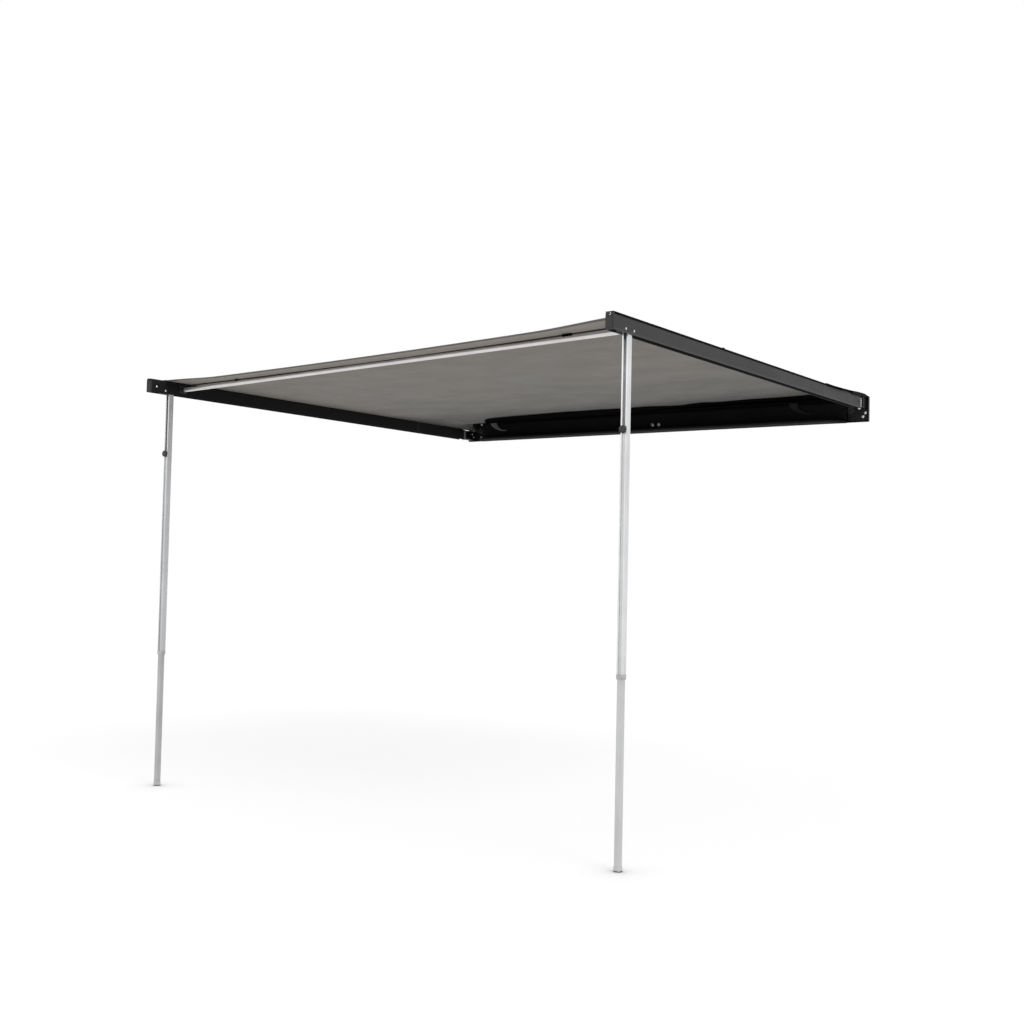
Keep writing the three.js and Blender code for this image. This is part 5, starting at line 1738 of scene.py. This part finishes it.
@dataclass
class StorageBag:
    """The open bag along the rail: liner, floor with round ends, lip, soft folds and top flap."""

    half: float = 1.163
    depth: float = 0.1253
    drop: float = 0.004
    corner: float = 0.130
    liner: tuple[Flat, ...] = ((0.046, 0.0), (0.03, 1.0), (0.0, 1.0), (-0.03, 1.0), (-0.052, 0.6),
                               (-0.0615, 0.2))
    floor: tuple[float, ...] = (0.06, 0.16, 0.3, 0.45, 0.6, 0.75, 0.9, 0.985)
    lip: float = 0.010
    lip_keep: float = 0.35
    flap_reach: float = 0.530
    flap_ramp: float = 0.045
    flap_rise: float = 0.016
    flap_keep: float = 0.5
    skirt_back: float = 0.019
    skirt_drop: float = 0.046
    cloth: float = 0.002

    @property
    def floor_z(self) -> float:
        """Height of the bag's floor."""
        return -SIZES.rail_top - self.drop

    @property
    def sheet_wall(self) -> float:
        """Thickness of the bag's single cloth."""
        return self.cloth * 0.7

    def build(self) -> None:
        """Make the bag's cloth pieces and its piping."""
        self.shell()
        for side in Side:
            self.fold(side)
        self.top_flap()
        for side in Side:
            self.skirt(side)

    def reach(self, x: float) -> float:
        """How far the floor comes out from the liner at a place along it, less towards its round ends."""
        inward = min(1.0, max(0.0, 1 - (self.half - abs(x)) / self.corner))
        return (self.depth - SIZES.rail_depth) * max(0.08, math.sqrt(1 - inward * inward))

    def shell_point(self, x: float, row: int) -> Vector:
        """A point of the liner, floor and lip, row by row from the liner's top edge.

        Args:
            x: Distance along the rail.
            row: The row's number.

        Returns:
            The point.
        """
        half, out = self.cloth / 2, self.reach(x)
        back, low = -SIZES.rail_depth - GAP - half, self.floor_z + half
        if row < len(self.liner):
            z, loose = self.liner[row]
            loose *= smooth_step(self.half - abs(x), 0.0, 0.1) * (1 - 0.75 * bell(x, 0.056, 0.05))
            crease = noise.fractal(Vector((x * 1.3, z * 9 + x * 0.6, 1.0)), 0.9, 2.0, 2)
            return Vector((x, back - loose * (0.004 + 0.004 * crease), z))
        row -= len(self.liner)
        if row < len(self.floor):
            share = self.floor[row]
            soft = ripple(0.0012, x * 2.2, share * 2.4, 5.0) * math.sin(math.pi * share)
            return Vector((x, back - (out - half) * share, low + soft))
        up = (0.003, self.lip - 0.002, self.lip)[row - len(self.floor)]
        return Vector((x, back - out + half + ripple(0.0008, x * 2.5, 2.0, 8.0), low + up))

    def shell(self) -> None:
        """Make the liner and floor as one shell, and the front lip."""
        joint = len(self.liner) + len(self.floor) - 1
        ends = [self.half - self.corner * (1 - math.cos(a)) for a in steps_between(0.08, TURN / 4, 14)]
        xs = [-x for x in ends] + steps_between(-ends[-1], ends[-1], 180)[1:-1] + ends[::-1]
        shell = grid(xs, range(joint + 1), self.shell_point)
        bag = add_piece("bag_shell", shell, BAG_CLOTH, "rail", ["bag_body"], crease=70, wall=self.sheet_wall)
        lip = grid(xs, range(joint, joint + 4), self.shell_point)
        edge = add_piece("bag_lip", lip, BAG_CLOTH, crease=70, wall=self.sheet_wall)
        hem = [self.shell_point(x, joint + 3) + Vector((0, 0, 0.001)) for x in xs]
        piping = add_piece("bag_lip_piping", pipe(hem, 0.0019, 10), TAPE, crease=60)
        for obj in (edge, piping):
            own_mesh(obj)

    def fold(self, side: Side) -> None:
        """Make the soft crescent of slack cloth near one end of the liner; its pale tone is a painted sheen,
        strong on the left and faint on the right.

        Args:
            side: The liner's end.
        """
        centre = side.value * 0.977
        back = -SIZES.rail_depth - 0.011

        def at(t: float, v: float) -> Vector:
            """A point of the fold, t down its curve and v across its width.

            Args:
                t: The share of the way down.
                v: The share of the width.

            Returns:
                The point.
            """
            a = t * TURN / 4
            x = centre - (0.124 - 0.050 * v) * math.cos(a)
            z = 0.052 - (0.063 - 0.006 * v) * math.sin(a)
            return Vector((x, back - 0.010 * math.sin(math.pi * v) * math.sin(math.pi * min(1, t + 0.12)), z))

        crescent = grid(steps_between(0, 1, 28), steps_between(0, 1, 10), at)
        fold = add_piece(f"bag_fold_{side.word}", crescent, FOLD_SHEEN[side], crease=70, wall=0.0012)

    def inboard(self, x: float) -> float:
        """0 at the flap's ends, easing to 1 away from them."""
        return smooth_step(SIZES.rail_length / 2 - abs(x), 0.02, 0.2)

    def flap_under(self, x: float, y: float) -> float:
        """Height of the flap's underside: on the rail, then standing slack over the canopy's rear.

        Args:
            x: Distance along the rail.
            y: Distance from the mounting face, negative outward.

        Returns:
            The height in metres.
        """
        within = max(-SIZES.canopy_half, min(SIZES.canopy_half, x))
        start = SIZES.rail_depth + GAP
        slack = self.flap_rise * (0.5 + 0.5 * self.inboard(x))
        slack *= 1 - smooth_step(-y, start + self.flap_ramp, self.flap_reach)
        resting = SIZES.canopy_under(within, min(y, -0.0164)) + 0.0019
        top = SIZES.rail_top + 0.0004
        return top + (resting + slack - top) * smooth_step(-y, start, start + self.flap_ramp)

    def flap_point(self, x: float, y: float) -> Vector:
        """A point of the flap, with soft slack and its ends turned down.

        Args:
            x: Distance along the rail.
            y: Distance from the mounting face, negative outward.

        Returns:
            The point.
        """
        half = SIZES.rail_length / 2
        free = smooth_step(-y, 0.016, 0.07) * smooth_step(y + self.flap_reach, 0.0, 0.2)
        lift = 0.004 * self.inboard(x)
        soft = 0.0022 * noise.fractal(Vector((x * 1.6, y * 6.0, 2.0)), 0.8, 2.0, 2) * self.inboard(x)
        turn = 0.006 * smooth_step(abs(x), half - 0.013, half) * smooth_step(-y, 0.1, 0.35)
        return Vector((x, y, self.flap_under(x, y) + 0.001 + free * (lift + soft) - turn))

    def top_flap(self) -> None:
        """Make the flap from the rail's top edge over the canopy's rear."""
        half = SIZES.rail_length / 2
        ends = [half - 0.013, half - 0.0095, half - 0.006, half - 0.003, half]
        xs = [-x for x in reversed(ends)] + steps_between(-ends[0], ends[0], 180)[1:-1] + ends
        shape = grid(xs, steps_between(-self.flap_reach, 0, 44), self.flap_point)
        flap = add_piece("bag_flap", shape, BAG_CLOTH, "rail", ["bag_top_flap"], crease=80,
                         wall=self.sheet_wall)
        above = Vector((0, 0, 0.0006))
        edge = [self.flap_point(x, -self.flap_reach) + above for x in steps_between(-half, half, 160)]
        self.gather(flap)
        self.gather(add_piece("bag_flap_piping", pipe(edge, 0.0018, 8), TAPE, crease=60))

    def skirt(self, side: Side) -> None:
        """Make the strip that hangs from the flap's end beside the arm's top edge.

        Args:
            side: The flap's end.
        """
        s, half = side.value, SIZES.rail_length / 2 - 0.001
        above, length = (-0.004, 0.201) if side is Side.RIGHT else (0.003, 0.341)
        low = SIZES.arm_top(side) + above
        ys = steps_between(-self.skirt_back - length, -self.skirt_back, 40)

        def at(y: float, v: float) -> Vector:
            """A point of the strip, v from the flap (0) down (1).

            Args:
                y: Distance from the mounting face, negative outward.
                v: The share of the way down.

            Returns:
                The point.
            """
            top = self.flap_point(s * half, y).z - 0.001
            foot = min(top - 0.0015, max(low, top - self.skirt_drop))
            x = half - 0.006 * v + ripple(0.0015, y * 9, v, 3.0) * v
            return Vector((s * x, y, top + (foot - top) * v))

        shape = grid(ys, steps_between(0, 1, 6), at)
        strip = add_piece(f"bag_skirt_{side.word}", shape, BAG_CLOTH, crease=80, wall=self.cloth * 0.6)
        area = sum((at(y, 0) - at(y, 1)).length for y in ys) * length / len(ys)
        self.gather(strip)

    def gather(self, obj: Piece) -> None:
        """Give a piece of the flap a mesh of its own."""
        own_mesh(obj)


# Stage

@dataclass
class Studio:
    """Camera, floor and light."""

    eye: tuple[float, float, float] = (3.485, -6.148, -0.825)
    pitch: float = 0.0422
    roll: float = 0.0213
    yaw: float = 0.6241
    lens: float = 43.78
    sensor: float = 36.0
    floor_half: float = 30.0
    floor_tone: float = 0.8
    shadow_share: float = 0.24
    # Reach and tone of the painted contact shade on the floor
    contact_reach: float = 0.16
    contact_tone: float = 0.02
    sky: float = 0.62
    lamp_angle: float = 30.0
    lamp_target: tuple[float, float, float] = (0, -1.2, -0.6)

    def build(self) -> None:
        """Set up the view and the plain studio."""
        self.camera()
        self.floor()
        self.world()
        self.lamp("key_light", 1.1, (7.0, -3.0, 7.0))
        self.lamp("front_fill", 0.5, (-5.0, -5.6, 1.6))

    def camera(self) -> None:
        """Place the camera at the photograph's viewing angle."""
        c, s = math.cos(self.yaw), math.sin(self.yaw)
        ahead = Vector((-s * math.cos(self.pitch), c * math.cos(self.pitch), math.sin(self.pitch)))
        level = Vector((c, s, 0))
        up = level.cross(ahead)
        right = level * math.cos(self.roll) + up * math.sin(self.roll)
        above = up * math.cos(self.roll) - level * math.sin(self.roll)
        data = bpy.data.cameras.new("photo_view")
        data.lens = self.lens
        data.sensor_width = self.sensor
        data.sensor_fit = "HORIZONTAL"
        data.clip_end = 200
        obj = bpy.data.objects.new("photo_view", data)
        turn = Matrix((right, above, -ahead)).transposed().to_4x4()
        turn.translation = Vector(self.eye)
        obj.matrix_world = turn
        bpy.context.scene.collection.objects.link(obj)
        bpy.context.scene.camera = obj

    def floor(self) -> None:
        """Make the pale floor, which shows white, keeps a faint shadow, and has painted contact shade where
        things come near it.
        """
        stations = steps_between(-self.floor_half, self.floor_half, 4)
        flat = grid(stations, stations, lambda x, y: Vector((x, y, SIZES.ground)))
        obj = make_piece("studio_floor", flat, 32.0)
        recipe = Recipe(bpy.data.materials.new("pale_floor"))
        recipe.tree.nodes.remove(recipe.own("BSDF_PRINCIPLED"))
        tones = (self.floor_tone, self.shadow_share, self.contact_tone)
        paint, shown, black = (recipe.shader("ShaderNodeBsdfDiffuse", {"Color": (t, t, t)}) for t in tones)
        glow = recipe.shader("ShaderNodeEmission", {"Strength": 1.0 - 0.84 * self.shadow_share})
        seen = recipe.shader("ShaderNodeAddShader", {0: shown, 1: glow})
        # Painted contact shade: ambient occlusion darkens the floor near things on it
        contact = recipe.node("ShaderNodeAmbientOcclusion", {"Distance": self.contact_reach}).outputs["AO"]
        painted_contact_shade = recipe.spread(contact, 0.85, 0.0, 0.45, 0.97)
        with_contact_shade = recipe.shader("ShaderNodeMixShader", {0: painted_contact_shade, 1: seen, 2: black})
        both = recipe.shader("ShaderNodeMixShader", {0: recipe.seen_rays(), 1: paint, 2: with_contact_shade})
        recipe.fill(recipe.own("OUTPUT_MATERIAL"), {"Surface": both})
        obj.data.materials.append(recipe.owner)

    def world(self) -> None:
        """Light evenly from all round and show white to the camera."""
        world = bpy.data.worlds.new("studio_world")
        bpy.context.scene.world = world
        recipe = Recipe(world)
        white = (1.0, 1.0, 1.0)
        light = recipe.own("BACKGROUND")
        recipe.fill(light, {"Color": white, "Strength": self.sky})
        backdrop = recipe.shader("ShaderNodeBackground", {"Color": white, "Strength": 1.0})
        both = recipe.shader("ShaderNodeMixShader", {0: recipe.seen_rays(), 1: light.outputs[0], 2: backdrop})
        recipe.fill(recipe.own("OUTPUT_WORLD"), {"Surface": both})

    def lamp(self, name: str, energy: float, place: Sequence[float]) -> None:
        """Put a soft, distant lamp in place, facing the awning's middle.

        Args:
            name: The lamp's name.
            energy: Its strength.
            place: Where it stands.
        """
        lamp = bpy.data.lights.new(name, "SUN")
        lamp.energy = energy
        lamp.angle = math.radians(self.lamp_angle)
        obj = bpy.data.objects.new(name, lamp)
        obj.location = place
        obj.rotation_euler = (Vector(self.lamp_target) - Vector(place)).to_track_quat("-Z", "Y").to_euler()
        bpy.context.scene.collection.objects.link(obj)


def main() -> None:
    """Build the studio and the awning's sub-assemblies in order."""
    logging.basicConfig(level=logging.INFO, format="%(message)s")
    bpy.context.scene.view_settings.view_transform = "Standard"
    assemblies = [Studio(), Rail()]
    for side in Side:
        assemblies += [Hinge(side), Arm(side), Leg(side)]
    assemblies += [Spreader(), Canopy(), StorageBag()]
    for assembly in assemblies:
        log.info("Building the %s", type(assembly).__name__)
        assembly.build()


if __name__ == "__main__":
    main()
